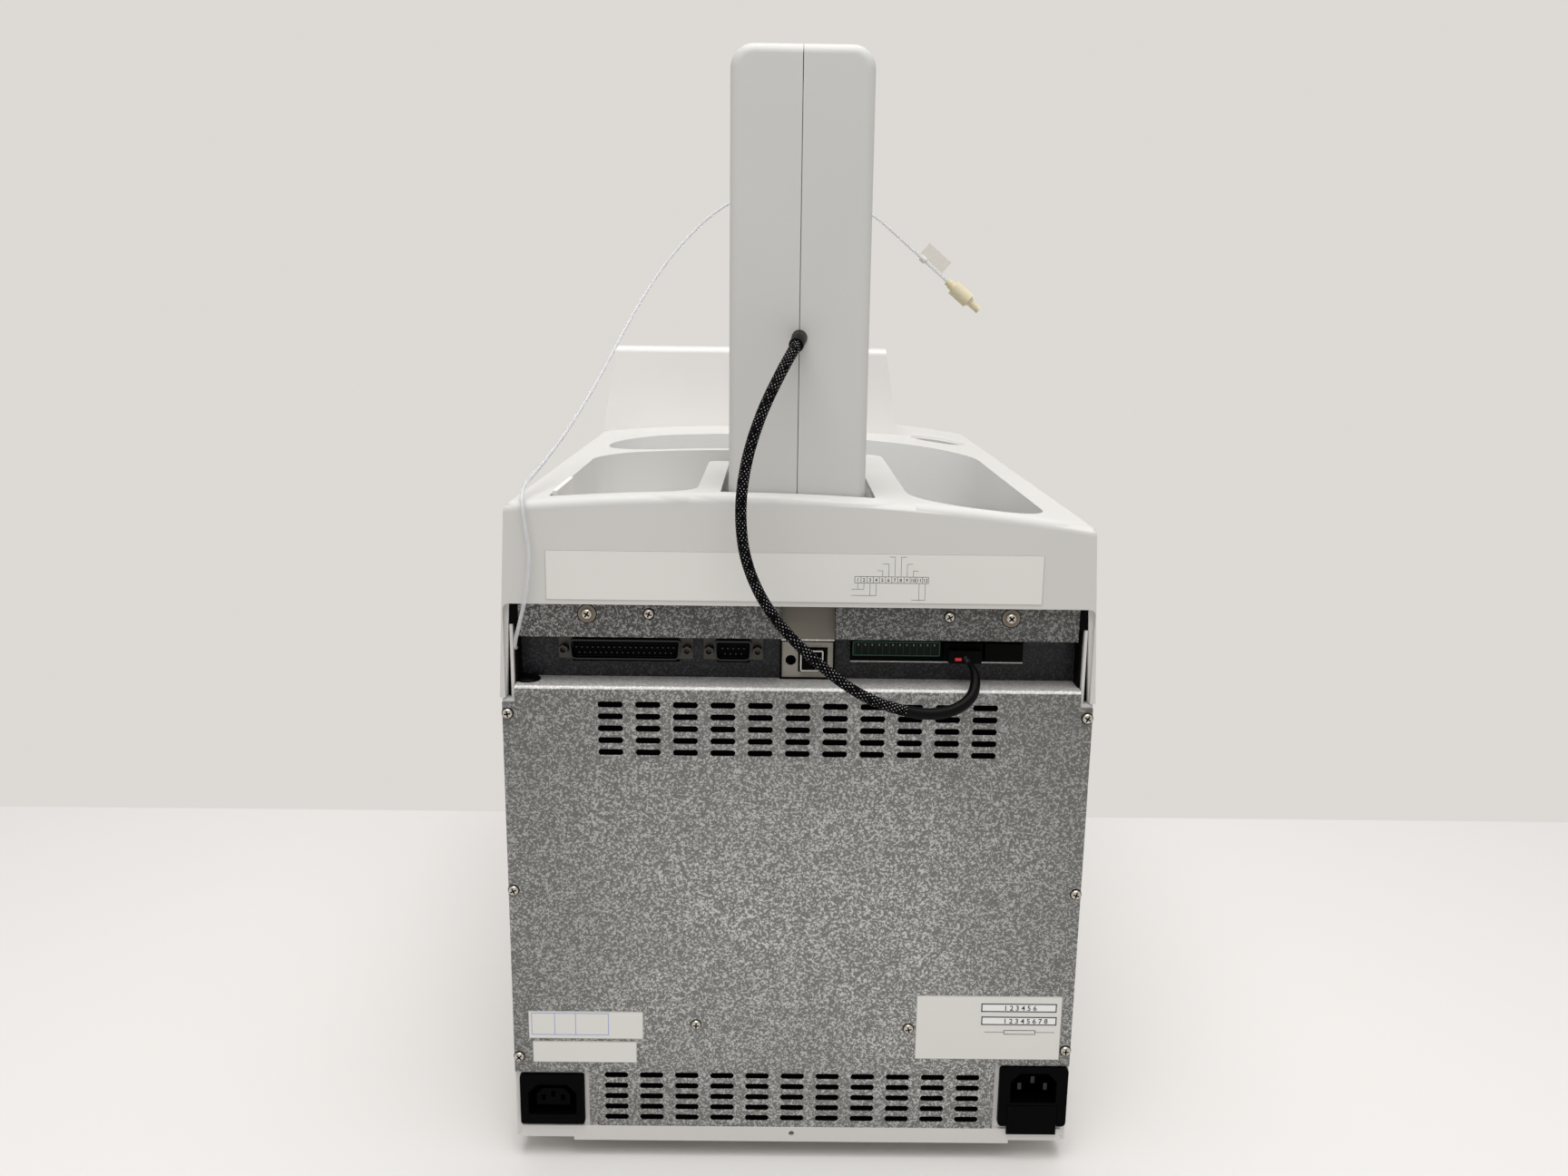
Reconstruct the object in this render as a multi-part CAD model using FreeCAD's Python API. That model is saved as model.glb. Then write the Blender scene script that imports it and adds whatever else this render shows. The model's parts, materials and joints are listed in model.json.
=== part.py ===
import FreeCAD, Part
import math
import os

from FreeCAD import Vector

# Autosampler module of an ion chromatography system, modelled in millimetres.
# The rear with its connectors faces +Y, the door faces -Y and the bench is at z = 0.
# Most places are given as a distance in from the rear face, by the function deep.

# Body
body_width = 300.0
body_depth = 470.0
foot_height = 12.0
foot_radius = 14.0
foot_inset = 45.0
pan_sheet = 2.0
lip_rise = 7.0
lip_drop = 2.0
lip_notch = 31.0
lip_hole_radius = 1.5
side_sheet = 1.5
side_flange = 13.0
upper_step = 4.4
fit_gap = 0.3
screw_head_radius = 2.7
screw_head_height = 1.8
edge_screw_inset = 2.7

# Rear panel
panel_sheet = 1.2
panel_height = 250.0
panel_shoulder = 9.0
panel_step = 6.5
shelf_depth = 20.0
bend_radius = 2.2
slot_length = 12.7
slot_width = 3.175
slot_pitch_x = 19.05
slot_pitch_z = 6.35
slot_columns = 11
slot_rows = 5
low_slots_above_lip = 5.6
high_slots_below_shelf = 9.45

# Sockets in the lower corners of the rear panel
socket_border = 2.6
outlet_width = 34.8
outlet_height = 29.6
inlet_width = 37.2
inlet_height = 35.6
socket_proud = 1.5
socket_body_depth = 28.0
drawer_width = 27.0
drawer_height = 9.0
drawer_rise = 3.5
drawer_tab = 5.0
drawer_depth = 20.0
drawer_travel = 16.0

# Connector recess under the cover
recess_height = 42.5
recess_corner = 3.0
skirt_overlap = 6.5
zinc_sheet = 1.2
strip_height = 17.5
strip_above = 8.5
usb_card_width = 27.0
usb_card_x = -4.7
usb_card_depth = 9.0
usb_plate_depth = 17.5
usb_plate_height = 22.4
connector_z = 12.5

# Moulded top cover
crown_above_shelf = 98.7
crown_radius = 1145.0
crown_apex_x = 35.0
skirt_flare = 1.0
cover_draft = 5.0
cover_wall = 3.0
cover_edge_radius = 5.0
well_wall = 2.5
well_depth = 41.7
rim_width = 24.5
well_rim = 5.5
slot_rim = 7.5
pocket_rim = 9.5
band_depth = 195.0
band_width = 10.0
well_front = 300.0
finger_width = 12.0
finger_end = 136.0
arm_width = 18.0
rinse_radius = 20.5
rinse_x = -111.0
rinse_front_gap = 106.0
rinse_wall = 2.0
rinse_cup_height = 40.0

# Sampling tower
tower_x = 2.0
tower_width = 68.0
tower_rear = 8.5
tower_depth = 88.0
tower_top = 577.0
tower_wall = 2.5
tower_corner = 11.0
tower_edge = 5.0
tower_seam = 0.4
slot_clearance = 5.0
stop_gap = 8.5
cable_hole_z = 443.0
cable_hole_radius = 3.2

# Slide and lift drives
rod_radius = 3.0
running_gap = 0.05
rod_z = 350.0
screw_drop = 17.0
motor_side = 17.0
lift_motor_side = 24.0
motor_length = 30.0
block_length = 26.0
block_height = 14.0
needle_stand = 24.5
needle_radius = 0.8
needle_tip_z = 370.0
needle_stroke = 72.0
carriage_top = 488.0
carriage_height = 26.0
lift_top = 520.0

# Carousel
carousel_rear_gap = 49.0
tray_rim = 20.5
turntable_z = 267.0
turntable_sheet = 5.0
tray_height = 18.0
vial_count = 12
vial_radius = 10.2
vial_play = 0.2
vial_bore = 2.4
vial_floor = 14.0
vial_height = 42.0
cap_radius = 7.5
cap_height = 8.0
deck_z = 240.0
deck_sheet = 2.0
gear_module = 2.0
gear_teeth = 40
pinion_teeth = 10
gear_thickness = 8.0
spindle_radius = 6.0

# Electronics
supply_width = 86.0
supply_length = 160.0
supply_height = 60.0

# Front
frame_depth = 12.0
door_thickness = 15.0
door_gap = 3.0
door_wall = 3.0
door_top = 302.5
door_lift = 5.0
hinge_inset = 7.0
hinge_pin_radius = 2.5
ear_sheet = 2.5
bay_depth = 50.0
head_length = 105.0
head_height = 62.0
head_left = 144.0
head_right = -79.0
head_draft = 10.0
head_wall = 2.5

half_width = body_width / 2
rear = (body_depth - screw_head_height) / 2
pan_top = foot_height + pan_sheet
lip_top = foot_height + lip_rise
shelf_z = lip_top + panel_height
recess_top = shelf_z + recess_height
skirt_z = shelf_z - skirt_overlap
crown_z = shelf_z + crown_above_shelf
skirt_half = half_width + skirt_flare
crown_half = skirt_half - cover_draft
upper_half = half_width - side_sheet - upper_step
side_top = recess_top - 11.5
door_front = body_depth
door_back = body_depth - door_thickness
frame_front = door_back - door_gap
frame_back = frame_front - frame_depth
bay_back = frame_front - bay_depth
well_half = half_width - rim_width
floor_z = crown_z - well_depth
strip_z = recess_top - strip_height
strip_top = recess_top + strip_above
slot_half = tower_width / 2 + slot_clearance
slot_left = tower_x + slot_half - 1
slot_right = tower_x - slot_half
arm_left = slot_right - arm_width
finger_left = slot_left + finger_width
tower_half = tower_width / 2
left_rod_x = slot_left + 4.5
right_rod_x = arm_left + well_wall + motor_side / 2 + fit_gap
carousel_x = tower_x
screw_z = rod_z - screw_drop
tower_travel = band_depth - tower_rear - tower_depth - stop_gap
needle_depth = band_depth - needle_stand
vial_reach = needle_depth + tower_travel
turntable_radius = (vial_reach + tray_rim - carousel_rear_gap) / 2
carousel_depth = carousel_rear_gap + turntable_radius
vial_ring = turntable_radius - tray_rim
head_rear = body_depth - head_length
rinse_depth = body_depth - rinse_front_gap
deck_top = deck_z + deck_sheet


def deep(distance):
    """The y that lies a distance in from the rear face."""
    return rear - distance


def block(x, d, z):
    """A box from pairs of limits: x, distance in from the rear face, and z."""
    size = [abs(pair[1] - pair[0]) for pair in (x, d, z)]
    return Part.makeBox(size[0], size[1], size[2], Vector(min(x), deep(max(d)), min(z)))


def around(middle, width):
    """A pair of limits about a middle."""
    return (middle - width / 2, middle + width / 2)


def upright(radius, x, d, z):
    """A vertical cylinder between two heights."""
    return Part.makeCylinder(radius, z[1] - z[0], Vector(x, deep(d), z[0]))


def lengthways(radius, x, d, z):
    """A cylinder along the body's depth, between two distances from the rear face."""
    return Part.makeCylinder(radius, abs(d[1] - d[0]), Vector(x, deep(min(d)), z), Vector(0, -1, 0))


def plan(u, v):
    return Vector(u, deep(v), 0)


def back_view(u, v):
    return Vector(u, rear, v)


def side_view(u, v):
    return Vector(0, deep(u), v)


def rounded_face(corners, place):
    """A flat face through corners (u, v, radius), with each corner rounded by its radius."""
    count = len(corners)
    joints = []
    for i, (u, v, radius) in enumerate(corners):
        back = Vector(corners[i - 1][0] - u, corners[i - 1][1] - v, 0).normalize()
        ahead = Vector(corners[(i + 1) % count][0] - u, corners[(i + 1) % count][1] - v, 0).normalize()
        here = Vector(u, v, 0)
        if radius == 0:
            joints.append((here, None, here))
            continue
        half_angle = math.acos(back.dot(ahead)) / 2
        run = radius / math.tan(half_angle)
        middle = (back + ahead).normalize()
        nearest = here + middle * (radius / math.sin(half_angle) - radius)
        joints.append((here + back * run, nearest, here + ahead * run))
    edges = []
    for i, (start, middle, end) in enumerate(joints):
        if middle is not None:
            arc = [place(p.x, p.y) for p in (start, middle, end)]
            edges.append(Part.Arc(*arc).toShape())
        following = joints[(i + 1) % count][0]
        if end.distanceToPoint(following) > 1e-6:
            edges.append(Part.LineSegment(place(end.x, end.y), place(following.x, following.y)).toShape())
    return Part.Face(Part.Wire(edges))


def rectangle(u, v, radius, place):
    """A face from two pairs of limits, with four equal corners."""
    low_u, high_u = min(u), max(u)
    low_v, high_v = min(v), max(v)
    corners = ((low_u, low_v), (high_u, low_v), (high_u, high_v), (low_u, high_v))
    return rounded_face([(a, b, radius) for a, b in corners], place)


def inward(face, start, end):
    """Extrudes a face drawn in the back view between two distances from the rear face."""
    return face.translated(Vector(0, -start, 0)).extrude(Vector(0, start - end, 0))


def between(face, low, high):
    """Extrudes a face drawn in plan between two heights."""
    return face.translated(Vector(0, 0, low)).extrude(Vector(0, 0, high - low))


def across(face, start, end):
    """Extrudes a face drawn in the side view between two x values."""
    return face.translated(Vector(start, 0, 0)).extrude(Vector(end - start, 0, 0))


def joined(shapes):
    whole = shapes[0].fuse(shapes[1:]) if len(shapes) > 1 else shapes[0]
    return whole.removeSplitter()


def mirrored(shape):
    return shape.mirror(Vector(0, 0, 0), Vector(1, 0, 0))


def crown_height(x):
    """Height of the cover's crowned top at x."""
    run = x - crown_apex_x
    return crown_z - crown_radius + math.sqrt(crown_radius**2 - run**2)


pieces = {}


def keep(name, *shapes):
    """Stores one sub-part, made of one or more separate solids."""
    solids = [solid for shape in shapes for solid in shape.Solids]
    pieces[name] = solids[0] if len(solids) == 1 else Part.makeCompound(solids)


# Base pan with its rear lip and the white corners that carry the mains sockets
outlet_x = (half_width - socket_border - outlet_width, half_width - socket_border)
outlet_z = (lip_top + 1.7, lip_top + 1.7 + outlet_height)
inlet_x = (-half_width + 0.4 + inlet_width, -half_width + 0.4)
inlet_z = (lip_top + 2.6, lip_top + 2.6 + inlet_height)
lip_half = half_width - socket_border
corner_sheet = (panel_sheet, panel_sheet + pan_sheet)
outlet_notch = (outlet_x[0] - socket_border, outlet_z[1] + 1.2)
inlet_notch = (inlet_x[0] + socket_border, inlet_z[1] + 0.4)


def make_base_pan():
    inner_half = half_width - side_sheet
    floor = block((-inner_half, inner_half), (0, frame_back), (foot_height, pan_top))
    lip = block((-lip_half, lip_half), (0, pan_sheet), (foot_height, lip_top))
    drop_half = half_width - lip_notch
    drop = block((-drop_half, drop_half), (0, pan_sheet), (foot_height - lip_drop, foot_height))
    left = block((outlet_notch[0] - 4, inner_half), corner_sheet, (foot_height, outlet_notch[1] + 5))
    right = block((inlet_notch[0] + 4, -inner_half), corner_sheet, (foot_height, inlet_notch[1] + 5))
    pan = joined([floor, lip, drop, left, right])
    pan = pan.cut(lengthways(lip_hole_radius, 0, (-1, pan_sheet + 1), foot_height + 3))
    for x, z in ((outlet_x, outlet_z), (inlet_x, inlet_z)):
        inside = (min(x) + 2, max(x) - 2)
        pan = pan.cut(block(inside, (-1, corner_sheet[1] + 1), (z[0] + 2, z[1] - 2)))
    return pan


keep("base_pan", make_base_pan())
keep("feet", *[
    Part.makeCone(foot_radius, foot_radius + 1.5, foot_height, Vector(x, deep(d), 0))
    for x in (-half_width + foot_inset, half_width - foot_inset)
    for d in (foot_inset, frame_back - foot_inset)
])


# Side panels: a folded sheet that steps in under the cover's skirt
def make_side_panel():
    outside = half_width
    step_z = skirt_z - 1
    lower = block((outside - side_sheet, outside), (panel_sheet, frame_back), (foot_height, step_z))
    ledge = block((upper_half, outside), (panel_sheet, frame_back), (step_z - side_sheet, step_z))
    upper_x = (upper_half, upper_half + side_sheet)
    upper = block(upper_x, (cover_wall + fit_gap, frame_back), (step_z - side_sheet, side_top))
    flange_d = (panel_sheet, panel_sheet + side_sheet)
    flange = block((outside - side_flange, outside), flange_d, (inlet_notch[1] + 6, step_z))
    return joined([lower, ledge, upper, flange])


keep("side_panel_left", make_side_panel())
keep("side_panel_right", mirrored(make_side_panel()))


# Rear panel with two fields of vent slots and a top flange that forms the connector shelf
def slot_prism(x, z):
    """One vent slot. Its ends are halves of an octagon, which read as round at this size."""
    half = slot_width / 2
    cut = half * (1 - math.tan(math.pi / 8))
    u = (x - slot_length / 2, x + slot_length / 2)
    corners = [(u[0] + cut, z - half), (u[1] - cut, z - half), (u[1], z - half + cut), (u[1], z + half - cut),
               (u[1] - cut, z + half), (u[0] + cut, z + half), (u[0], z + half - cut), (u[0], z - half + cut)]
    face = rounded_face([(a, b, 0) for a, b in corners], back_view)
    return inward(face, -1, panel_sheet + 1)


def slot_field(top_row_z):
    first = -slot_pitch_x * (slot_columns - 1) / 2
    return [
        slot_prism(first + column * slot_pitch_x, top_row_z - row * slot_pitch_z)
        for row in range(slot_rows)
        for column in range(slot_columns)
    ]


edge_notch_x = 107.0
low_field_top = lip_top + low_slots_above_lip + slot_pitch_z * (slot_rows - 1)
high_field_top = shelf_z - high_slots_below_shelf


def make_rear_panel():
    shoulder_half = half_width - panel_step
    face = rounded_face([
        (-half_width, inlet_notch[1], 0), (inlet_notch[0], inlet_notch[1], 0), (inlet_notch[0], lip_top, 0),
        (outlet_notch[0], lip_top, 0), (outlet_notch[0], outlet_notch[1], 0),
        (half_width, outlet_notch[1], 0),
        (half_width, shelf_z - panel_shoulder, 0), (shoulder_half, shelf_z - panel_shoulder, 0),
        (shoulder_half, shelf_z, 0), (-shoulder_half, shelf_z, 0),
        (-shoulder_half, shelf_z - panel_shoulder, 0), (-half_width, shelf_z - panel_shoulder, 0),
    ], back_view)
    sheet = inward(face, 0, panel_sheet)
    shelf = block((-shoulder_half, shoulder_half), (0, shelf_depth), (shelf_z - panel_sheet, shelf_z))
    panel = joined([sheet, shelf])
    bend = [
        edge for edge in panel.Edges
        if abs(edge.CenterOfMass.y - rear) < 0.01 and abs(edge.CenterOfMass.z - shelf_z) < 0.01
    ]
    panel = panel.makeFillet(bend_radius, bend)
    inner = [
        edge for edge in panel.Edges
        if abs(edge.CenterOfMass.y - deep(panel_sheet)) < 0.01
        and abs(edge.CenterOfMass.z - shelf_z + panel_sheet) < 0.01 and edge.Length > body_width / 2
    ]
    panel = panel.makeFillet(bend_radius - panel_sheet, inner)
    notches = [
        block((x - 2, x + 2), (-1, panel_sheet + 1), (lip_top - 1, lip_top + 2))
        for x in (-edge_notch_x, edge_notch_x)
    ]
    return panel.cut(slot_field(low_field_top) + slot_field(high_field_top) + notches)


keep("rear_panel", make_rear_panel())


# Screw heads on the rear panel: three down each side and two on the face
left_screws_above_lip = (41.7, 138.4, 235.3)
right_screws_above_lip = (47.9, 139.0, 235.8)
face_screws = ((52.0, 61.6), (-62.0, 60.3))


def panel_screw(x, above_lip):
    return lengthways(screw_head_radius, x, (-screw_head_height, 0), lip_top + above_lip)


panel_screws = (
    [panel_screw(half_width - edge_screw_inset, z) for z in left_screws_above_lip]
    + [panel_screw(-half_width + edge_screw_inset, z) for z in right_screws_above_lip]
    + [panel_screw(x, z) for x, z in face_screws]
)


# Mains sockets
def chamfered(u, v, cut, place):
    """A rectangle whose two upper corners are cut off, as mains connectors have."""
    return rounded_face([
        (u[0], v[0], 0), (u[1], v[0], 0), (u[1], v[1] - cut, 0), (u[1] - cut, v[1], 0),
        (u[0] + cut, v[1], 0), (u[0], v[1] - cut, 0),
    ], place)


def socket_shell(x, z, corner):
    x = (min(x), max(x))
    flange = inward(rectangle(x, z, corner, back_view), -socket_proud, corner_sheet[0])
    body_d = (corner_sheet[0] - 0.1, socket_body_depth)
    body = block((x[0] + 2.2, x[1] - 2.2), body_d, (z[0] + 2.2, z[1] - 2.2))
    return joined([flange, body])


blade_pitch = 7.0
blade_rise = 4.0


def make_outlet():
    middle_x = sum(outlet_x) / 2
    middle_z = sum(outlet_z) / 2
    shell = socket_shell(outlet_x, outlet_z, 1.5)
    recess = chamfered(around(middle_x, 26), around(middle_z, 18), 5, back_view)
    recess = inward(recess, -3, 14)
    island = chamfered(around(middle_x, 18), around(middle_z, 10), 3.5, back_view)
    island = inward(island, 1.5, 16)
    holes = [
        block((middle_x + dx - 1.2, middle_x + dx + 1.2), (0, 13), (middle_z + dz - 1.8, middle_z + dz + 1.8))
        for dx, dz in ((-blade_pitch * 0.75, -0.6), (0, 1.6), (blade_pitch * 0.75, -0.6))
    ]
    return joined([shell.cut(recess), island]).cut(holes)


drawer_x = (inlet_x[0] - 5, inlet_x[0] - 5 - drawer_width)
drawer_z = (inlet_z[0] + drawer_rise, inlet_z[0] + drawer_rise + drawer_height)


def make_inlet():
    middle_x = sum(inlet_x) / 2
    shell = socket_shell(inlet_x, inlet_z, 2.5)
    low = drawer_z[1] + 2
    recess_face = chamfered((middle_x - 12.5, middle_x + 12.5), (low, inlet_z[1] - 3.5), 5, back_view)
    shell = shell.cut(inward(recess_face, -3, 16))
    wide = (min(drawer_x) - fit_gap, max(drawer_x) + fit_gap)
    tunnel = block(wide, (-3, drawer_depth + 2), (drawer_z[0] - fit_gap, drawer_z[1] + fit_gap))
    mouth = block(wide, (-3, 0), (inlet_z[0] - 1, drawer_z[1] + fit_gap))
    shell = shell.cut([tunnel, mouth])
    blade_z = (low + inlet_z[1] - 3.5) / 2
    blades = [
        block((middle_x + dx - 1, middle_x + dx + 1), (2, 16), (blade_z + dz - 2, blade_z + dz + 2))
        for dx, dz in ((-blade_pitch, -1), (0, blade_rise - 1), (blade_pitch, -1))
    ]
    return shell, blades


keep("accessory_outlet", make_outlet())
inlet_shell, inlet_blades = make_inlet()
keep("power_inlet", inlet_shell)


def make_fuse_drawer():
    tray = block(drawer_x, (-socket_proud, drawer_depth), drawer_z)
    front = block(drawer_x, (-socket_proud, -fit_gap), (inlet_z[0] - drawer_tab, drawer_z[1]))
    fuses = [
        lengthways(2.6, min(drawer_x) + drawer_width * share, (4, drawer_depth + 1), drawer_z[1])
        for share in (0.3, 0.7)
    ]
    return joined([tray, front]).cut(fuses)


keep("fuse_drawer", make_fuse_drawer())

# Connector recess: plate, upper strip and the card bracket between them
plate_half = half_width - panel_step - 0.5
plate_face = shelf_depth - 1
card_x = (usb_card_x - usb_card_width / 2, usb_card_x + usb_card_width / 2)
header_x = (-74.3, -27.8)
header_z = (shelf_z + 10.3, shelf_z + 19.0)
syringe_width = 19.5
syringe_gap = 1.0
slot_x = (header_x[0] - 2 * syringe_width - 3 * syringe_gap, header_x[1] + syringe_gap)
connector_mid_z = shelf_z + connector_z


def make_connector_plate():
    plate = block((-plate_half, plate_half), (plate_face, plate_face + zinc_sheet), (shelf_z, strip_top))
    slot = block(slot_x, (0, shelf_depth + 9), (header_z[0] - 0.6, strip_z - 4))
    window = block((card_x[0] + 2, card_x[1] - 2), (0, shelf_depth + 9), (shelf_z + 3, strip_top - 6))
    holes = [
        block((x - half, x + half), (0, shelf_depth + 9), (connector_mid_z - 4.4, connector_mid_z + 4.4))
        for x, half in ((dsub_large_x, dsub_large_span / 2 - 4), (dsub_small_x, dsub_small_span / 2 - 4))
    ]
    return plate.cut([slot, window] + holes)


dsub_large_x = 89.0
dsub_large_span = 63.5
dsub_small_x = 33.5
dsub_small_span = 25.0
strip_face = cover_wall
strip_half = half_width - 9.0


def make_cross_strip():
    front = block((-strip_half, strip_half), (strip_face, strip_face + zinc_sheet), (strip_z, strip_top))
    top = block((-strip_half, strip_half), (strip_face, plate_face), (strip_top - zinc_sheet, strip_top))
    gap = block(card_x, (0, usb_card_depth + 4), (strip_z - 1, strip_top - zinc_sheet - 2))
    return joined([front, top]).cut(gap)


def make_usb_card():
    low = shelf_z + 1
    bend = low + usb_plate_height
    upper = block(card_x, (usb_card_depth, usb_card_depth + zinc_sheet), (bend, strip_top - zinc_sheet))
    step = block(card_x, (usb_card_depth, usb_plate_depth + zinc_sheet), (bend, bend + zinc_sheet))
    lower = block(card_x, (usb_plate_depth, usb_plate_depth + zinc_sheet), (low, bend))
    card = joined([upper, step, lower])
    hole = lengthways(2.75, card_x[1] - 5, (usb_plate_depth - 1, usb_plate_depth + 3), shelf_z + 10)
    port = block(usb_x, (usb_plate_depth - 1, usb_plate_depth + 3), usb_z)
    return card.cut([hole, port])


usb_x = (card_x[0] + 3.0, card_x[0] + 16.4)
usb_z = (shelf_z + 5.0, shelf_z + 17.0)

keep("connector_plate", make_connector_plate())
keep("cross_strip", make_cross_strip())
keep("usb_card_bracket", make_usb_card())


def make_usb_socket():
    can = block(usb_x, (usb_plate_depth - 1.5, usb_plate_depth + 10), usb_z)
    near, far = usb_plate_depth - 3, usb_plate_depth + 9
    inside_z = (usb_z[0] + 1.6, usb_z[1] - 1.6)
    hollow = block((usb_x[0] + 1.6, usb_x[1] - 1.6), (near, far), inside_z)
    tongue_z = (usb_z[0] + 4.2, usb_z[1] - 4.2)
    tongue = block((usb_x[0] + 3.6, usb_x[1] - 3.6), (near + 3, far), tongue_z)
    return joined([can.cut(hollow), tongue])


# D-shaped connectors with a metal shell, a black insulator and two hexagonal posts
def d_face(x, half, height, taper):
    return rounded_face([
        (x - half + taper, connector_mid_z - height, 1.5), (x + half - taper, connector_mid_z - height, 1.5),
        (x + half, connector_mid_z + height, 1.5), (x - half, connector_mid_z + height, 1.5),
    ], back_view)


def make_dsub(x, span):
    shell_half = span / 2 - 4.0
    flange_half = span / 2 + 3.0
    flange_z = (connector_mid_z - 6.2, connector_mid_z + 6.2)
    flange = block((x - flange_half, x + flange_half), (plate_face - 1, plate_face), flange_z)
    rim = inward(d_face(x, shell_half, 4.2, 1.4), plate_face - 6, plate_face - 0.5)
    hollow = inward(d_face(x, shell_half - 0.8, 3.5, 1.3), plate_face - 8, plate_face + 3)
    shell = joined([flange, rim]).cut(hollow)
    core = inward(d_face(x, shell_half - 0.9, 3.4, 1.3), plate_face - 4.5, plate_face + 6)
    posts = []
    for side in (-1, 1):
        hexagon = Part.makePolygon([
            Vector(x + side * span / 2 + 2.6 * math.cos(math.pi * k / 3), deep(plate_face - 1),
                   connector_mid_z + 2.6 * math.sin(math.pi * k / 3))
            for k in range(7)
        ])
        post = Part.Face(hexagon).extrude(Vector(0, 5, 0))
        thread = lengthways(1.3, x + side * span / 2, (plate_face - 7, plate_face - 2), connector_mid_z)
        posts.append(post.cut(thread))
    return shell, core, posts


large_shell, large_core, large_posts = make_dsub(dsub_large_x, dsub_large_span)
small_shell, small_core, small_posts = make_dsub(dsub_small_x, dsub_small_span)
keep("connector_shells", large_shell, small_shell, make_usb_socket(), *(large_posts + small_posts))


# Twelve-way terminal header and the two syringe drive connectors beside it
def make_terminal_header():
    body = block(header_x, (plate_face - 7, plate_face + 9), header_z)
    inside = (header_x[0] + 0.9, header_x[1] - 0.9)
    cavity = block(inside, (plate_face - 8, plate_face + 1), (header_z[0] + 1.2, header_z[1] + 1))
    return body.cut(cavity)


header_pitch = (header_x[1] - header_x[0] - 1.8) / 12
header_places = [header_x[0] + 0.9 + header_pitch * (k + 0.5) for k in range(12)]
header_pins = [
    block((x - 0.5, x + 0.5), (plate_face - 6, plate_face + 1), (header_z[0] + 4, header_z[0] + 5))
    for x in header_places
]
keep("terminal_header", make_terminal_header())
keep("contact_pins", *(inlet_blades + header_pins))

first_syringe_x = (header_x[0] - syringe_gap - syringe_width, header_x[0] - syringe_gap)
second_syringe_x = (first_syringe_x[0] - syringe_gap - syringe_width, first_syringe_x[0] - syringe_gap)


def make_syringe_socket(x, height):
    body = block(x, (plate_face - 6, plate_face + 9), (header_z[0], header_z[0] + height))
    inside = (x[0] + 1.2, x[1] - 1.2)
    cavity = block(inside, (plate_face - 7, plate_face + 1), (header_z[0] + 1.2, header_z[0] + height - 1.2))
    return body.cut(cavity)


syringe_sockets = [make_syringe_socket(x, 9.5) for x in (first_syringe_x, second_syringe_x)]
keep("connector_cores", large_core, small_core, *syringe_sockets)
plug_z = (header_z[0] + 1.4, header_z[0] + 8.1)
plug_x = (first_syringe_x[0] + 1.4, first_syringe_x[1] - 1.4)
plug_face = plate_face - 11


def make_signal_plug():
    return block(plug_x, (plug_face, plate_face + 0.8), plug_z)


keep("signal_plug", make_signal_plug())
strip_screws = (
    [lengthways(4.2, x, (1.2, strip_face), recess_top - 5.5) for x in (-106.5, 106.5)]
    + [lengthways(2.6, x, (1.4, strip_face), recess_top - 5.2) for x in (-75.5, 75.5)]
)
keep("rear_screws", *(panel_screws + strip_screws))
grommet_x = half_width - 12.0
tube_start = (half_width - 11.5, plate_face - 4, shelf_z + 14)
keep("grommets", Part.makeCone(5.8, 4.2, 5.0, Vector(grommet_x, deep(8), shelf_z)),
     lengthways(3, tube_start[0], (tube_start[1] + fit_gap, plate_face), tube_start[2]))


# Moulded top cover: a crowned shell with the sample well, the reagent pocket and the tower slot
def cover_form(inset, start, end):
    """The cover's outer form, drawn in by a wall, between two distances from the rear face."""
    low = skirt_z if inset <= 0 else skirt_z - 5
    lean = cover_draft / (crown_height(crown_half) - skirt_z)
    foot_half = skirt_half - inset + (skirt_z - low) * lean
    top_half = crown_half - inset
    corners = [Vector(x, deep(start), z) for x, z in (
        (-foot_half, low), (foot_half, low), (top_half, crown_height(top_half) - inset),
        (-top_half, crown_height(-top_half) - inset))]
    peak = Vector(crown_apex_x, deep(start), crown_z - inset)
    edges = [
        Part.LineSegment(corners[0], corners[1]).toShape(),
        Part.LineSegment(corners[1], corners[2]).toShape(),
        Part.Arc(corners[2], peak, corners[3]).toShape(),
        Part.LineSegment(corners[3], corners[0]).toShape(),
    ]
    return Part.Face(Part.Wire(edges)).extrude(Vector(0, start - end, 0))


def pocket_and_slot():
    """Outline of the reagent pocket, joined in front of the left finger to the tower's slot."""
    return rounded_face([
        (slot_right, slot_rim, 2), (slot_left, slot_rim, 2), (slot_left, finger_end, 5),
        (finger_left, finger_end, 5), (finger_left, pocket_rim, 16), (well_half, pocket_rim, 4),
        (well_half, band_depth, 28), (slot_right, band_depth, 4),
    ], plan)


def sample_well():
    """Outline of the opening over the carousel, which runs round the tower's right-hand arm."""
    near = band_depth + band_width
    side_space = well_half + arm_left
    front_space = well_front - near
    return rounded_face([
        (-well_half, well_rim, 0.42 * side_space), (arm_left, well_rim, 0.48 * side_space),
        (arm_left, near, 8), (well_half, near, 0.46 * front_space),
        (well_half, well_front, 0.48 * front_space), (-well_half, well_front, 0.52 * front_space),
    ], plan)


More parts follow.
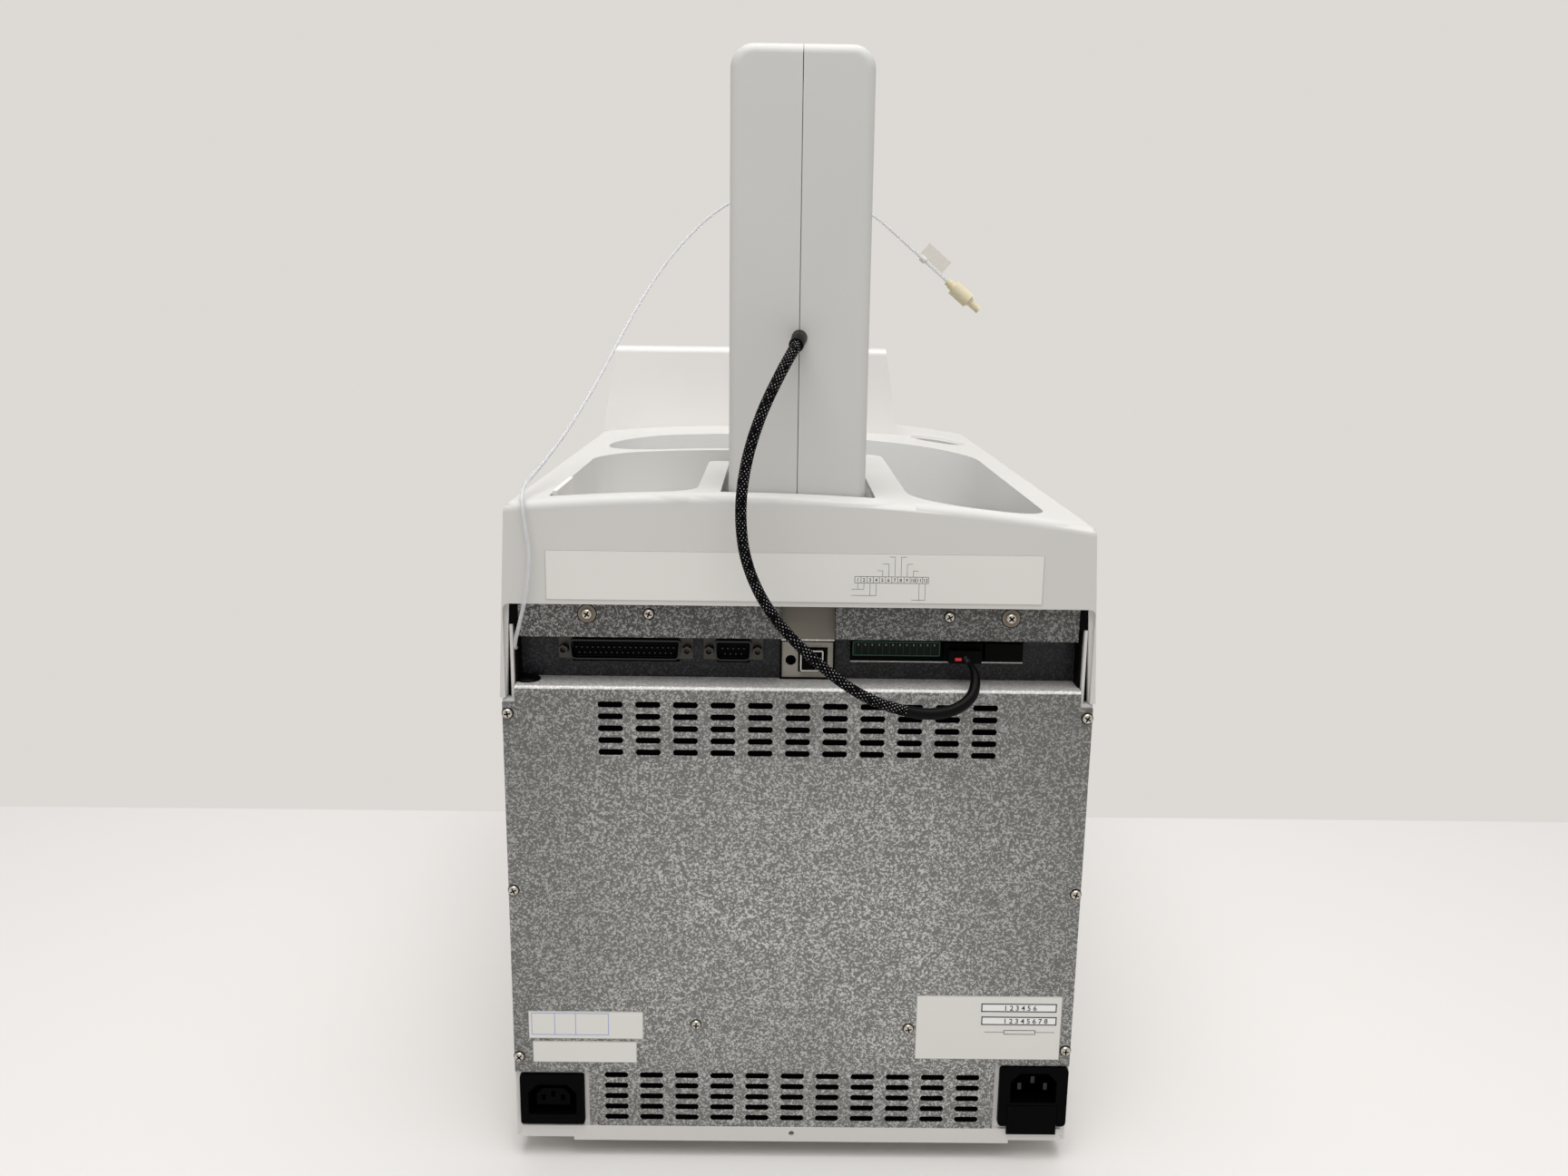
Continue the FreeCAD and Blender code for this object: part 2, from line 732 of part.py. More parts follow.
def make_top_cover():
    outer = cover_form(0, 0, body_depth)
    rim = [
        edge for edge in outer.Edges
        if edge.BoundBox.ZMax > skirt_z + 1 and edge.BoundBox.ZMin > recess_top
    ]
    outer = outer.makeFillet(cover_edge_radius, rim)
    inner = cover_form(cover_wall, cover_wall, body_depth - cover_wall)
    shell = outer.cut(inner)
    top = crown_z + 5
    walls = []
    for face in (pocket_and_slot(), sample_well()):
        grown = face.makeOffset2D(well_wall)
        walls.append(between(grown, floor_z, top))
    open_side = block((arm_left + well_wall, finger_left - well_wall), (-1, band_depth - 5), (0, top + 1))
    walls[0] = walls[0].cut(open_side)
    pocket_floor = between(pocket_and_slot().makeOffset2D(well_wall), floor_z, floor_z + well_wall)
    pocket_floor = pocket_floor.cut(block((-half_width, finger_left - well_wall), (-1, body_depth), (0, top)))
    rod_seats = [
        block((slot_left + 0.5, finger_left - well_wall), (finger_end - 7, finger_end - 1), (rod_z - 7, top)),
        block((arm_left + well_wall, slot_right - 1), (band_depth - 8, band_depth), (floor_z, top)),
    ]
    tab_z = (floor_z + 8, crown_height(well_half) - 5)
    tab = block((well_half - 3, well_half), (pocket_rim + 11, pocket_rim + 51), tab_z)
    shell = shell.fuse([part.common(outer) for part in walls])
    hollows = [between(face, floor_z - 1, top) for face in (pocket_and_slot(), sample_well())]
    shell = shell.cut(hollows)
    extras = [part.common(outer) for part in [pocket_floor, tab] + rod_seats]
    shell = shell.fuse(extras)
    recess_half = half_width - 5
    recess = rectangle((-recess_half, recess_half), (skirt_z - 20, recess_top), recess_corner, back_view)
    front_x = (-half_width - 10, half_width + 10)
    cuts = [
        inward(recess, -1, cover_wall + 0.01),
        block(front_x, (frame_front - 2, body_depth + 1), (0, door_top + ear_sheet + 1)),
        upright(rinse_radius, rinse_x, rinse_depth, (skirt_z, top)),
        lengthways(rod_radius, left_rod_x, (0.5 * finger_end, finger_end - 3), rod_z),
        lengthways(rod_radius, right_rod_x, (0.5 * finger_end, band_depth - 3), rod_z),
        lengthways(rod_radius + running_gap, right_rod_x, (0.5 * finger_end, band_depth - 2), screw_z),
    ]
    return shell.cut(cuts).removeSplitter()


keep("top_cover", make_top_cover())


def make_rinse_cup():
    low = crown_height(rinse_x) - rinse_cup_height
    outside = upright(rinse_radius, rinse_x, rinse_depth, (low, crown_z))
    body = outside.common(cover_form(cover_wall / 2, cover_wall, body_depth - cover_wall))
    return body.cut(upright(rinse_radius - rinse_wall, rinse_x, rinse_depth, (low + rinse_wall, crown_z)))


keep("rinse_cup", make_rinse_cup())


# Sampling tower: two half shells around an aluminium frame that slides on two rods
def tower_form(inset):
    x = (tower_x - tower_half + inset, tower_x + tower_half - inset)
    low = rod_z + 2 - (10 if inset else 0)
    face = rounded_face([
        (x[0], low, 0), (x[1], low, 0), (x[1], tower_top - inset, tower_corner - inset),
        (x[0], tower_top - inset, tower_corner - inset),
    ], back_view)
    form = inward(face, tower_rear + inset, tower_rear + tower_depth - inset)
    if inset:
        return form
    rims = [
        edge for edge in form.Edges
        if edge.BoundBox.YLength < 0.01 and edge.BoundBox.ZMax > low + 1
    ]
    return form.makeFillet(tower_edge, rims)


arm_slot = (394.0, 488.0)
arm_slot_half = 8.0


def make_tower_shells():
    shell = tower_form(0).cut(tower_form(tower_wall))
    front = tower_rear + tower_depth
    arm_gap = block((tower_x - arm_slot_half, tower_x + arm_slot_half), (front - 6, front + 1), arm_slot)
    cable = lengthways(cable_hole_radius, tower_x, (tower_rear - 1, tower_rear + 6), cable_hole_z)
    shell = shell.cut([arm_gap, cable])
    reach = (tower_rear - 5, front + 5)
    high = (0, tower_top + 5)
    left = shell.common(block((tower_x + tower_seam / 2, half_width), reach, high))
    right = shell.common(block((-half_width, tower_x - tower_seam / 2), reach, high))
    return left, right


left_shell, right_shell = make_tower_shells()
keep("tower_shell_left", left_shell)
keep("tower_shell_right", right_shell)

left_block = (tower_rear + 2.5, tower_rear + 2.5 + block_length)
right_block = (cover_wall + motor_length + 7, cover_wall + motor_length + 7 + block_length)
lift_screw_depth = tower_rear + 32
lift_rod_depth = tower_rear + 56
syringe_x = tower_x + 24
syringe_depth = tower_rear + 44
barrel_radius = 6.0
barrel_bore = 4.6
barrel_z = (440.0, 502.0)


def make_tower_frame():
    inner = tower_wall
    sides = (tower_x - tower_half + inner, tower_x + tower_half - inner)
    base_z = (screw_z + 3, rod_z - 4)
    width = (tower_x - tower_half, tower_x + tower_half)
    base = block(width, (tower_rear + 4, tower_rear + tower_depth - 4), base_z)
    spigot = block(sides, (tower_rear + inner, tower_rear + tower_depth - inner), (base_z[1], rod_z + 4))
    back = block((sides[0] + 3, sides[1] - 3), (tower_rear + 5, tower_rear + 8), (rod_z + 4, lift_top + 40))
    top = block((sides[0] + 3, sides[1] - 3), (tower_rear + 5, tower_rear + 68), (lift_top, lift_top + 4))
    clamp_x = (syringe_x - barrel_radius - 0.6, sides[1])
    clamp = block(clamp_x, (tower_rear + 5, syringe_depth + 8), (464, 474))
    above = rod_z + block_height / 2
    left = block((width[1], finger_left - well_wall - 0.5), left_block, (rod_z - block_height / 2, above))
    right = block((arm_left + well_wall + 1, width[0]), right_block, (screw_z - 6.5, above))
    ties = [
        block((width[1] - 8, width[1]), left_block, (base_z[0], rod_z - 0.5)),
        block((width[0], width[0] + 8), right_block, (base_z[0], rod_z - 0.5)),
    ]
    frame = joined([base, spigot, back, top, clamp, left, right] + ties)
    running = rod_radius + running_gap
    bores = [
        lengthways(running, left_rod_x, (0, 200), rod_z),
        lengthways(running, right_rod_x, (0, 200), rod_z),
        lengthways(running, right_rod_x, (0, 200), screw_z),
        upright(running, tower_x, lift_screw_depth, (rod_z - 4, lift_top + 10)),
        upright(rod_radius, tower_x, lift_rod_depth, (rod_z - 4, lift_top + 10)),
        upright(barrel_radius, syringe_x, syringe_depth, (460, 480)),
    ]
    return frame.cut(bores)


lift_rod = upright(rod_radius, tower_x, lift_rod_depth, (rod_z - 4, lift_top + 4))
keep("tower_frame", make_tower_frame(), lift_rod)
gland_face = tower_rear - 2
keep("tower_gland", joined([
    lengthways(cable_hole_radius + 0.6, tower_x, (gland_face, tower_rear), cable_hole_z),
    lengthways(cable_hole_radius, tower_x, (gland_face, tower_rear + 4.8), cable_hole_z),
]))


screw_hold = 10.0
motor_end = cover_wall + motor_length
lift_motor_z = (lift_top + 4, lift_top + 4 + motor_length)
lift_motor = block(around(tower_x, lift_motor_side), around(lift_screw_depth, lift_motor_side), lift_motor_z)
lift_bore_z = (lift_top, lift_motor_z[0] + screw_hold)
lift_bore = upright(rod_radius + running_gap, tower_x, lift_screw_depth, lift_bore_z)
keep("lift_motor", lift_motor.cut(lift_bore))
lift_screw_z = (rod_z - 4 + fit_gap, lift_motor_z[0] + screw_hold - fit_gap)
keep("lift_screw", upright(rod_radius, tower_x, lift_screw_depth, lift_screw_z))
slide_motor = block(around(right_rod_x, motor_side), (cover_wall, motor_end), around(screw_z, motor_side))
slide_bore_d = (motor_end - screw_hold, motor_end + 1)
slide_bore = lengthways(rod_radius + running_gap, right_rod_x, slide_bore_d, screw_z)
slide_motor = slide_motor.cut(slide_bore)
slide_screw_d = (motor_end - screw_hold + fit_gap, band_depth - 2 - fit_gap)
keep("slide_screw", lengthways(rod_radius, right_rod_x, slide_screw_d, screw_z))
keep("slide_rods",
     lengthways(rod_radius, left_rod_x, (cover_wall, finger_end - 3), rod_z),
     lengthways(rod_radius, right_rod_x, (cover_wall, band_depth - 3), rod_z))


# Needle carriage, arm and needle
def make_needle_arm():
    carriage_z = (carriage_top - carriage_height, carriage_top)
    carriage = block((tower_x - 16, tower_x + 15), (lift_screw_depth - 10, lift_rod_depth + 8), carriage_z)
    arm_z = (carriage_top - 18, carriage_top - 6)
    arm = block((tower_x - 5, tower_x + 5), (lift_rod_depth, needle_depth), arm_z)
    nose = upright(7, tower_x, needle_depth, (arm_z[0] - 4, arm_z[1] + 4))
    running = rod_radius + running_gap
    bores = [
        upright(running, tower_x, lift_screw_depth, (400, 500)),
        upright(running, tower_x, lift_rod_depth, (400, 500)),
        upright(needle_radius, tower_x, needle_depth, (400, 500)),
    ]
    return joined([carriage, arm, nose]).cut(bores)


keep("needle_arm", make_needle_arm())
keep("needle", joined([
    upright(needle_radius, tower_x, needle_depth, (needle_tip_z + 4, carriage_top + 6)),
    Part.makeCone(0.25, needle_radius, 4, Vector(tower_x, deep(needle_depth), needle_tip_z)),
]))

# Sample syringe inside the tower
barrel = upright(barrel_radius, syringe_x, syringe_depth, barrel_z)
bore_z = (barrel_z[0] - 1, barrel_z[1] - 4)
keep("syringe_barrel", barrel.cut(upright(barrel_bore, syringe_x, syringe_depth, bore_z)))
keep("syringe_plunger", joined([
    upright(barrel_bore - running_gap, syringe_x, syringe_depth, (barrel_z[1] - 12, barrel_z[1] - 5)),
    upright(1.5, syringe_x, syringe_depth, (barrel_z[0] - 36, barrel_z[1] - 10)),
    upright(5, syringe_x, syringe_depth, (barrel_z[0] - 36, barrel_z[0] - 32)),
]))


# Wash cup under the needle's rest place, hung from the cover's cross band
def make_wash_cup():
    top = screw_z - 1
    cup = upright(8, tower_x, needle_depth, (top - 47, top))
    strap = block((tower_x - 4, tower_x + 4), (needle_depth + 4, band_depth), (floor_z, top))
    return joined([cup, strap]).cut(upright(4.5, tower_x, needle_depth, (top - 43, top + 1)))


keep("wash_cup", make_wash_cup())

# Carousel: turntable on a bushed spindle, tray, vials and the gear pair that turns them
turntable_top = turntable_z + turntable_sheet
hub_radius = 20.0
hub_z = turntable_z - 11.0


def ring_places(count, radius):
    angles = [2 * math.pi * k / count for k in range(count)]
    return [(carousel_x + radius * math.sin(a), carousel_depth + radius * math.cos(a)) for a in angles]


def make_turntable():
    disc = upright(turntable_radius, carousel_x, carousel_depth, (turntable_z, turntable_top))
    hub = upright(hub_radius, carousel_x, carousel_depth, (hub_z, turntable_z))
    bore = upright(spindle_radius + running_gap, carousel_x, carousel_depth, (hub_z - 1, turntable_z + 1))
    return joined([disc, hub]).cut(bore)


def make_tray():
    tray_z = (turntable_top, turntable_top + tray_height)
    ring = upright(turntable_radius - 2, carousel_x, carousel_depth, tray_z)
    through = (turntable_top - 1, turntable_top + tray_height + 1)
    ring = ring.cut(upright(vial_ring - 28, carousel_x, carousel_depth, through))
    places = ring_places(vial_count, vial_ring)
    return ring.cut([upright(vial_radius + vial_play, x, d, through) for x, d in places])


def make_spindle():
    return joined([
        upright(16, carousel_x, carousel_depth, (deck_top, deck_top + 4)),
        upright(9, carousel_x, carousel_depth, (deck_top, hub_z - fit_gap)),
        upright(spindle_radius, carousel_x, carousel_depth, (deck_top, turntable_z + 1 - fit_gap)),
    ])


keep("turntable", make_turntable())
keep("vial_tray", make_tray())
keep("spindle", make_spindle())


def make_vial(x, d):
    body = upright(vial_radius, x, d, (turntable_top, turntable_top + vial_height))
    return body.cut(upright(vial_bore, x, d, (turntable_top + vial_floor, turntable_top + vial_height + 1)))


def make_cap(x, d):
    low = turntable_top + vial_height
    cap = upright(cap_radius, x, d, (low, low + cap_height))
    return cap.cut(upright(vial_bore, x, d, (low - 1, low + cap_height + 1)))


keep("sample_vials", *[make_vial(x, d) for x, d in ring_places(vial_count, vial_ring)])
keep("vial_caps", *[make_cap(x, d) for x, d in ring_places(vial_count, vial_ring)])


def gear_face(teeth, tooth_first):
    """A spur gear's outline about the origin, with straight-sided teeth."""
    pitch_radius = gear_module * teeth / 2
    tip, root = pitch_radius + 0.8 * gear_module, pitch_radius - 1.1 * gear_module
    step = 2 * math.pi / teeth
    widths = ((root, 0.33), (tip, 0.13), (tip, -0.13), (root, -0.33))
    points = []
    for k in range(teeth):
        middle = (k if tooth_first else k + 0.5) * step
        for radius, share in widths:
            angle = middle - share * step
            points.append(Vector(radius * math.cos(angle), radius * math.sin(angle), 0))
    points.append(points[0])
    return Part.Face(Part.makePolygon(points))


mesh_slack = 0.3
pinion_x = carousel_x - gear_module * (gear_teeth + pinion_teeth) / 2 - mesh_slack
gear_z = hub_z + 0.5


def make_gear(teeth, tooth_first, x, bore):
    gear = gear_face(teeth, tooth_first).extrude(Vector(0, 0, gear_thickness))
    gear = gear.translated(Vector(x, deep(carousel_depth), gear_z))
    if bore:
        gear = gear.cut(upright(bore, x, carousel_depth, (gear_z - 1, gear_z + gear_thickness + 1)))
    return gear


shaft_radius = 2.5
keep("drive_gear", make_gear(gear_teeth, True, carousel_x, hub_radius))
keep("drive_pinion", joined([
    make_gear(pinion_teeth, False, pinion_x, 0),
    upright(shaft_radius, pinion_x, carousel_depth, (deck_z - 20, gear_z + 1)),
]))
carousel_motor = block(around(pinion_x, 42), around(carousel_depth, 42), (deck_z - 34, deck_z))
carousel_motor = carousel_motor.cut(
    upright(shaft_radius + running_gap, pinion_x, carousel_depth, (deck_z - 20 - fit_gap, deck_z + 1)))
deck_half = half_width - side_sheet
deck = block((-deck_half, deck_half), (shelf_depth + 2, bay_back), (deck_z, deck_top))
shaft_hole = upright(shaft_radius + 1, pinion_x, carousel_depth, (deck_z - 1, deck_top + 1))
keep("carousel_deck", deck.cut(shaft_hole))

# Electronics
board_half = half_width - 20
board_z = (deck_top, strip_top - 2)
control_board = block((-board_half, board_half), (plate_face + 9, plate_face + 10.6), board_z)
supply_x = (half_width - 46, half_width - 46 - supply_width)
keep("power_supply", block(supply_x, (60, 60 + supply_length), (pan_top, pan_top + supply_height)))


def make_logic_board():
    left, right = -half_width + 12, -20
    board = block((left, right), (70, 300), (pan_top + 10, pan_top + 11.6))
    posts = [upright(3, x, d, (pan_top, pan_top + 10.5)) for x in (left + 6, right - 6) for d in (76, 294)]
    chips = [
        block(around(x, 28), around(d, 28), (pan_top + 11.6, pan_top + 15))
        for x, d in ((left + 38, 130), (left + 78, 220))
    ]
    return joined([board] + posts + chips)


keep("circuit_boards", control_board, make_logic_board())


# Front frame, component panel, door and its pins
hinge_x = half_width - hinge_inset
hinge_depth = body_depth - door_thickness / 2
frame_low = pan_top
frame_high = door_top + 0.5 + ear_sheet
door_z = (foot_height + door_lift, door_top)


def make_front_frame():
    step_z = skirt_z - 1
    lower_half = half_width - side_sheet
    lower = block((-lower_half, lower_half), (frame_back, frame_front), (foot_height, step_z))
    upper = block((-upper_half, upper_half), (frame_back, frame_front), (step_z, frame_high))
    through = (frame_back - 1, frame_front + 1)
    opening = block((-lower_half + 12, lower_half - 12), through, (foot_height + 10, deck_z))
    ear_x = (hinge_x - 6, hinge_x + 5)
    ear_d = (frame_front - 2, hinge_depth + 4)
    low_ear = block(ear_x, ear_d, (foot_height, foot_height + ear_sheet))
    high_ear = block(ear_x, ear_d, (door_top + 0.5, frame_high))
    frame = joined([lower, upper, low_ear, high_ear]).cut(opening)
    pin_line = upright(hinge_pin_radius, hinge_x, hinge_depth, (0, frame_high + 5))
    return frame.cut(pin_line)


keep("front_frame", make_front_frame())
pin_reach = 13.0
low_pin = upright(hinge_pin_radius, hinge_x, hinge_depth, (foot_height, door_z[0] + pin_reach))
collar_z = (foot_height + ear_sheet, door_z[0] - fit_gap)
pin_collar = upright(hinge_pin_radius + 2, hinge_x, hinge_depth, collar_z)
keep("door_pins", joined([low_pin, pin_collar]),
     upright(hinge_pin_radius, hinge_x, hinge_depth, (door_z[1] - pin_reach, frame_high)))


def make_front_door():
    x = (-half_width + 1, half_width - 1)
    outline = rounded_face([
        (x[0], door_back, 3), (x[1], door_back, 6), (x[1], door_front, 6), (x[0], door_front, 6),
    ], plan)
    outer = between(outline, door_z[0], door_z[1])
    hollow_z = (door_z[0] + 14, door_z[1] - 14)
    hollow = block((x[0] + 20, x[1] - 18), (door_back - 1, door_front - door_wall), hollow_z)
    grip = block((x[0] - 1, x[0] + 9), (door_front - 7, door_front - 2), (140, 220))
    running = hinge_pin_radius + running_gap
    low_bore = upright(running, hinge_x, hinge_depth, (0, door_z[0] + pin_reach + 0.5))
    high_bore = upright(running, hinge_x, hinge_depth, (door_z[1] - pin_reach - 0.5, door_z[1] + 1))
    return outer.cut([hollow, grip, low_bore, high_bore])


keep("front_door", make_front_door())

valve_x = -62.0
valve_z = 150.0


def make_component_panel():
    half = half_width - side_sheet
    sheet = block((-half, half), (bay_back, bay_back + 2), (pan_top, deck_top + 6))
    through = (bay_back - 1, bay_back + 3)
    return sheet.cut([
        lengthways(9, valve_x, through, valve_z),
        block(around(switch_x, 20), through, around(switch_z, 26)),
    ])


switch_x = 105.0
switch_z = 60.0
keep("component_panel", make_component_panel())
panel_front = bay_back + 2


def port_ring(count, radius, depth):
    angles = [2 * math.pi * k / count for k in range(count)]
    places = [(valve_x + radius * math.cos(a), valve_z + radius * math.sin(a)) for a in angles]
    return [lengthways(2.2, x, depth, z) for x, z in places]


valve_front = panel_front + 26
rotor_radius = 12.0
rotor_shaft = 5.0
shaft_end = bay_back - 12
stator = lengthways(20, valve_x, (panel_front, valve_front), valve_z)
rotor_space = lengthways(rotor_radius + running_gap, valve_x, (panel_front - 1, valve_front - 8), valve_z)
keep("valve_stator", stator.cut([rotor_space] + port_ring(6, 12, (valve_front - 5, valve_front + 1))))
keep("valve_rotor", joined([
    lengthways(rotor_radius, valve_x, (panel_front + fit_gap, valve_front - 8 - fit_gap), valve_z),
    lengthways(rotor_shaft, valve_x, (shaft_end, panel_front + 1), valve_z),
]))
valve_motor = block(around(valve_x, 52), (bay_back - 60, bay_back), around(valve_z, 52))
valve_motor = valve_motor.cut(
    lengthways(rotor_shaft + running_gap, valve_x, (shaft_end - fit_gap, bay_back + 1), valve_z))
keep("drive_motors", slide_motor, carousel_motor, valve_motor)


def make_switch_case():
    case = block(around(switch_x, 24), (panel_front, panel_front + 3), around(switch_z, 30))
    body = block(around(switch_x, 20), (bay_back - 14, panel_front + 1), around(switch_z, 26))
    hollow = block(around(switch_x, 14), (bay_back - 6, panel_front + 4), around(switch_z, 23))
    pivot = across(rocker_pin(rocker_pin_radius + running_gap), *around(switch_x, 17.6))
    return joined([case, body]).cut([hollow, pivot])


rocker_depth = panel_front - 1.0
rocker_pin_radius = 1.2


def rocker_pin(radius):
    circle = Part.Circle(Vector(0, deep(rocker_depth), switch_z), Vector(1, 0, 0), radius)
    return Part.Face(Part.Wire(circle.toShape()))


keep("switch_case", make_switch_case())


def make_rocker():
    face = rounded_face([(rocker_depth + u, switch_z + v, 0) for u, v in (
        (-3.5, -4.0), (4.8, -9.6), (3.6, 0.0), (6.6, 8.8), (-1.0, 9.4), (-3.5, 4.0),
    )], side_view)
    paddle = across(face, *around(switch_x, 13.4))
    return joined([paddle, across(rocker_pin(rocker_pin_radius), *around(switch_x, 17))])


keep("power_rocker", make_rocker())



# Control head on the front of the cover, with its display and keypad
head_front = body_depth - 3.0
head_nose = 9.0


def head_form(inset):
    """The head's outer form above and below the cover's top, drawn in by a wall."""
    low = crown_height(head_left) - cover_edge_radius + 1
    top = crown_z + head_height - 3 - inset
    back = head_rear + inset
    nose = head_front - inset
    profile = rounded_face([
        (back, low, 0), (back, top, 5), (head_rear + 16, top, 5), (nose, crown_z + head_nose - inset, 4),
        (nose, low, 0),
    ], side_view)
    body = across(profile, head_right - head_draft, head_left + head_draft)
    lean = head_draft / head_height
    low_lean = lean * (crown_z - low)
    high_lean = lean * (head_height + 5)
    outline = [
        (head_right + inset - low_lean, low), (head_left - inset + low_lean, low),
        (head_left - inset - high_lean, crown_z + head_height + 5),
        (head_right + inset + high_lean, crown_z + head_height + 5),
    ]
    face = rounded_face([(x, z, 0) for x, z in outline], back_view)
    return body.common(inward(face, head_rear - 5, body_depth + 5))


def make_control_head():
    hollow = head_form(head_wall).cut(cover_form(-head_wall, -5, body_depth + 5))
    return head_form(0).cut([cover_form(0, -5, body_depth + 5), hollow])


keep("control_head", make_control_head())
slope_low = (head_front, crown_z + head_nose)
slope_high = (head_rear + 16, crown_z + head_height - 3)
slope_run = math.dist(slope_low, slope_high)
slope_along = ((slope_high[0] - slope_low[0]) / slope_run, (slope_high[1] - slope_low[1]) / slope_run)
slope_out = (slope_along[1], -slope_along[0])


def on_slope(x, reach, low, high):
    """A thin plate on the head's sloping face: x limits, distances up the slope and heights above it."""
    def at(along, out):
        return (slope_low[0] + slope_along[0] * along + slope_out[0] * out,
                slope_low[1] + slope_along[1] * along + slope_out[1] * out, 0)
    corners = [at(reach[0], low), at(reach[1], low), at(reach[1], high), at(reach[0], high)]
    return across(rounded_face(corners, side_view), x[0], x[1])


keep("display_window", on_slope((24, 118), (38, 88), 0, 1.2))
keep("keypad", *(
    [on_slope((-50 + 17 * column, -38 + 17 * column), (20 + 17 * row, 32 + 17 * row), 0, 1.6)
     for row in range(4) for column in range(4)]
))


# The braided signal cable and the clear sample tube, each a run of straights joined by arcs
cable_radius = 2.5
tube_radius = 1.0


def cord(points, radius):
    """A round cord through points given as (x, distance in from the rear face, z)."""
    places = [Vector(x, deep(d), z) for x, d, z in points]
    joints = [(places[0], None, places[0])]
    for before, here, after in zip(places, places[1:], places[2:]):
        back = (before - here)
        ahead = (after - here)
        shorter = min(back.Length, ahead.Length)
        back.normalize()
        ahead.normalize()
        run = 0.45 * shorter
        half_turn = (math.pi - back.getAngle(ahead)) / 2
        bend = run / math.tan(half_turn)
        middle = (back + ahead).normalize()
        nearest = here + middle * (bend / math.cos(half_turn) - bend)
        joints.append((here + back * run, nearest, here + ahead * run))
        print("bend radius %.1f at %.0f %.0f %.0f" % (bend, here.x, here.y, here.z))
    joints.append((places[-1], None, places[-1]))
    edges = []
    for i, (start, middle, end) in enumerate(joints):
        if middle is not None:
            edges.append(Part.Arc(start, middle, end).toShape())
        if i + 1 < len(joints):
            edges.append(Part.LineSegment(end, joints[i + 1][0]).toShape())
    path = Part.Wire(edges)
    circle = Part.Circle(places[0], places[1] - places[0], radius).toShape()
    tube = path.makePipeShell([Part.Wire(circle)], True, False)
    print("cord length %.1f, volume over section times length %.4f" % (
        path.Length, tube.Volume / (math.pi * radius**2 * path.Length)))
    return tube


cable_gap = 0.3
plug_gap = 1.1
plug_middle = (sum(plug_x) / 2, plug_face - plug_gap, sum(plug_z) / 2)
cable_points = [
    (tower_x, gland_face - cable_gap, cable_hole_z), (2.6, -9, 441.8), (10, -20.5, 429.5), (20, -27, 409),
    (27, -29, 386), (29.5, -28, 362), (26.5, -27, 338), (15, -26, 314), (-5, -25, 292), (-30, -25, 272.5),
    (-56, -25, 264), (-74, -22.5, 264), (-86, -15.5, 269.5), (-89, -5.5, 277.5), (-87.2, 0.9, 281.9),
    plug_middle,
]
keep("signal_cable", cord(cable_points, cable_radius))
edge_places = (
    (10.5, 6, 284.5), (8.5, 0, 291), (11.5, -3.8, 303), (15.5, -4.2, 320), (17, -4.2, 338), (15, -4.2, 352.5),
    (13.5, -3.1, 364.3), (13, 7.5, 369.7), (14, 22, 372), (17, 50, 378), (20, 85, 386), (23, 120, 395.5),
)
tube_points = [tube_start] + [(half_width - inset, d, z) for inset, d, z in edge_places] + [
    (122, 160, 410), (112, 200, 436), (100, 230, 463), (80, 256, 494.5), (50, 275, 525),
    (2, 284, 543), (-48, 285, 522.5), (-75, 282, 499.5), (-102.6, 278, 475.6),
]
keep("sample_tubing", cord(tube_points, tube_radius))

# Union fitting on the tube's free end, and the blank flag tied on just above it
tube_end = Vector(tube_points[-1][0], deep(tube_points[-1][1]), tube_points[-1][2])
tube_before = Vector(tube_points[-2][0], deep(tube_points[-2][1]), tube_points[-2][2])
tube_along = (tube_end - tube_before).normalize()


def along_tube(radius, start, length, top_radius=None):
    base = tube_end + tube_along * start
    if top_radius is None:
        return Part.makeCylinder(radius, length, base, tube_along)
    return Part.makeCone(radius, top_radius, length, base, tube_along)


keep("union_fitting", joined([
    along_tube(2.6, 0, 3), along_tube(3.1, 2.5, 4), along_tube(5.2, 6, 14), along_tube(4.2, 19, 3, 2.6),
    along_tube(2.6, 21.5, 8),
]))
flag_side = Vector(-tube_along.z, 0, tube_along.x).normalize()
if flag_side.z < 0:
    flag_side = flag_side.negative()


def make_tube_flag():
    ring = Part.makeCylinder(2.2, 4, tube_end - tube_along * 24, tube_along)
    ring = ring.cut(Part.makeCylinder(tube_radius, 6, tube_end - tube_along * 25, tube_along))
    corners = [
        tube_end - tube_along * (26 - a) + flag_side * b
        for a, b in ((0, 1.7), (20, 1.7), (20, 11), (0, 11), (0, 1.7))
    ]
    sheet = Part.Face(Part.makePolygon(corners))
    normal = sheet.normalAt(0, 0)
    return joined([ring, sheet.translated(normal * -0.2).extrude(normal * 0.4)])


keep("tube_flag", make_tube_flag())
label_sheet = 0.3


def label(x, z):
    return block(x, (-label_sheet, 0), z)


keep("label_plates",
     label((-121.0, 126.3), (shelf_z + 44.8, shelf_z + 70.0)),
     label((-half_width + 6.0, -half_width + 84.0), (lip_top + 42.4, lip_top + 79.9)),
     label((half_width - 69.6, half_width - 8.2), (lip_top + 52.7, lip_top + 68.7)),
     label((half_width - 66.0, half_width - 10.1), (lip_top + 38.5, lip_top + 51.0)))


def export_all():
    os.makedirs("parts", exist_ok=True)
    for name, shape in pieces.items():
        shape.exportStep("parts/" + name + ".step")
        box = shape.BoundBox
        print("%-20s %2d solids %8.1f cm3 valid %s  x %7.1f %7.1f  y %7.1f %7.1f  z %6.1f %6.1f" % (
            name, len(shape.Solids), shape.Volume / 1000, shape.isValid(),
            box.XMin, box.XMax, box.YMin, box.YMax, box.ZMin, box.ZMax))


export_all()
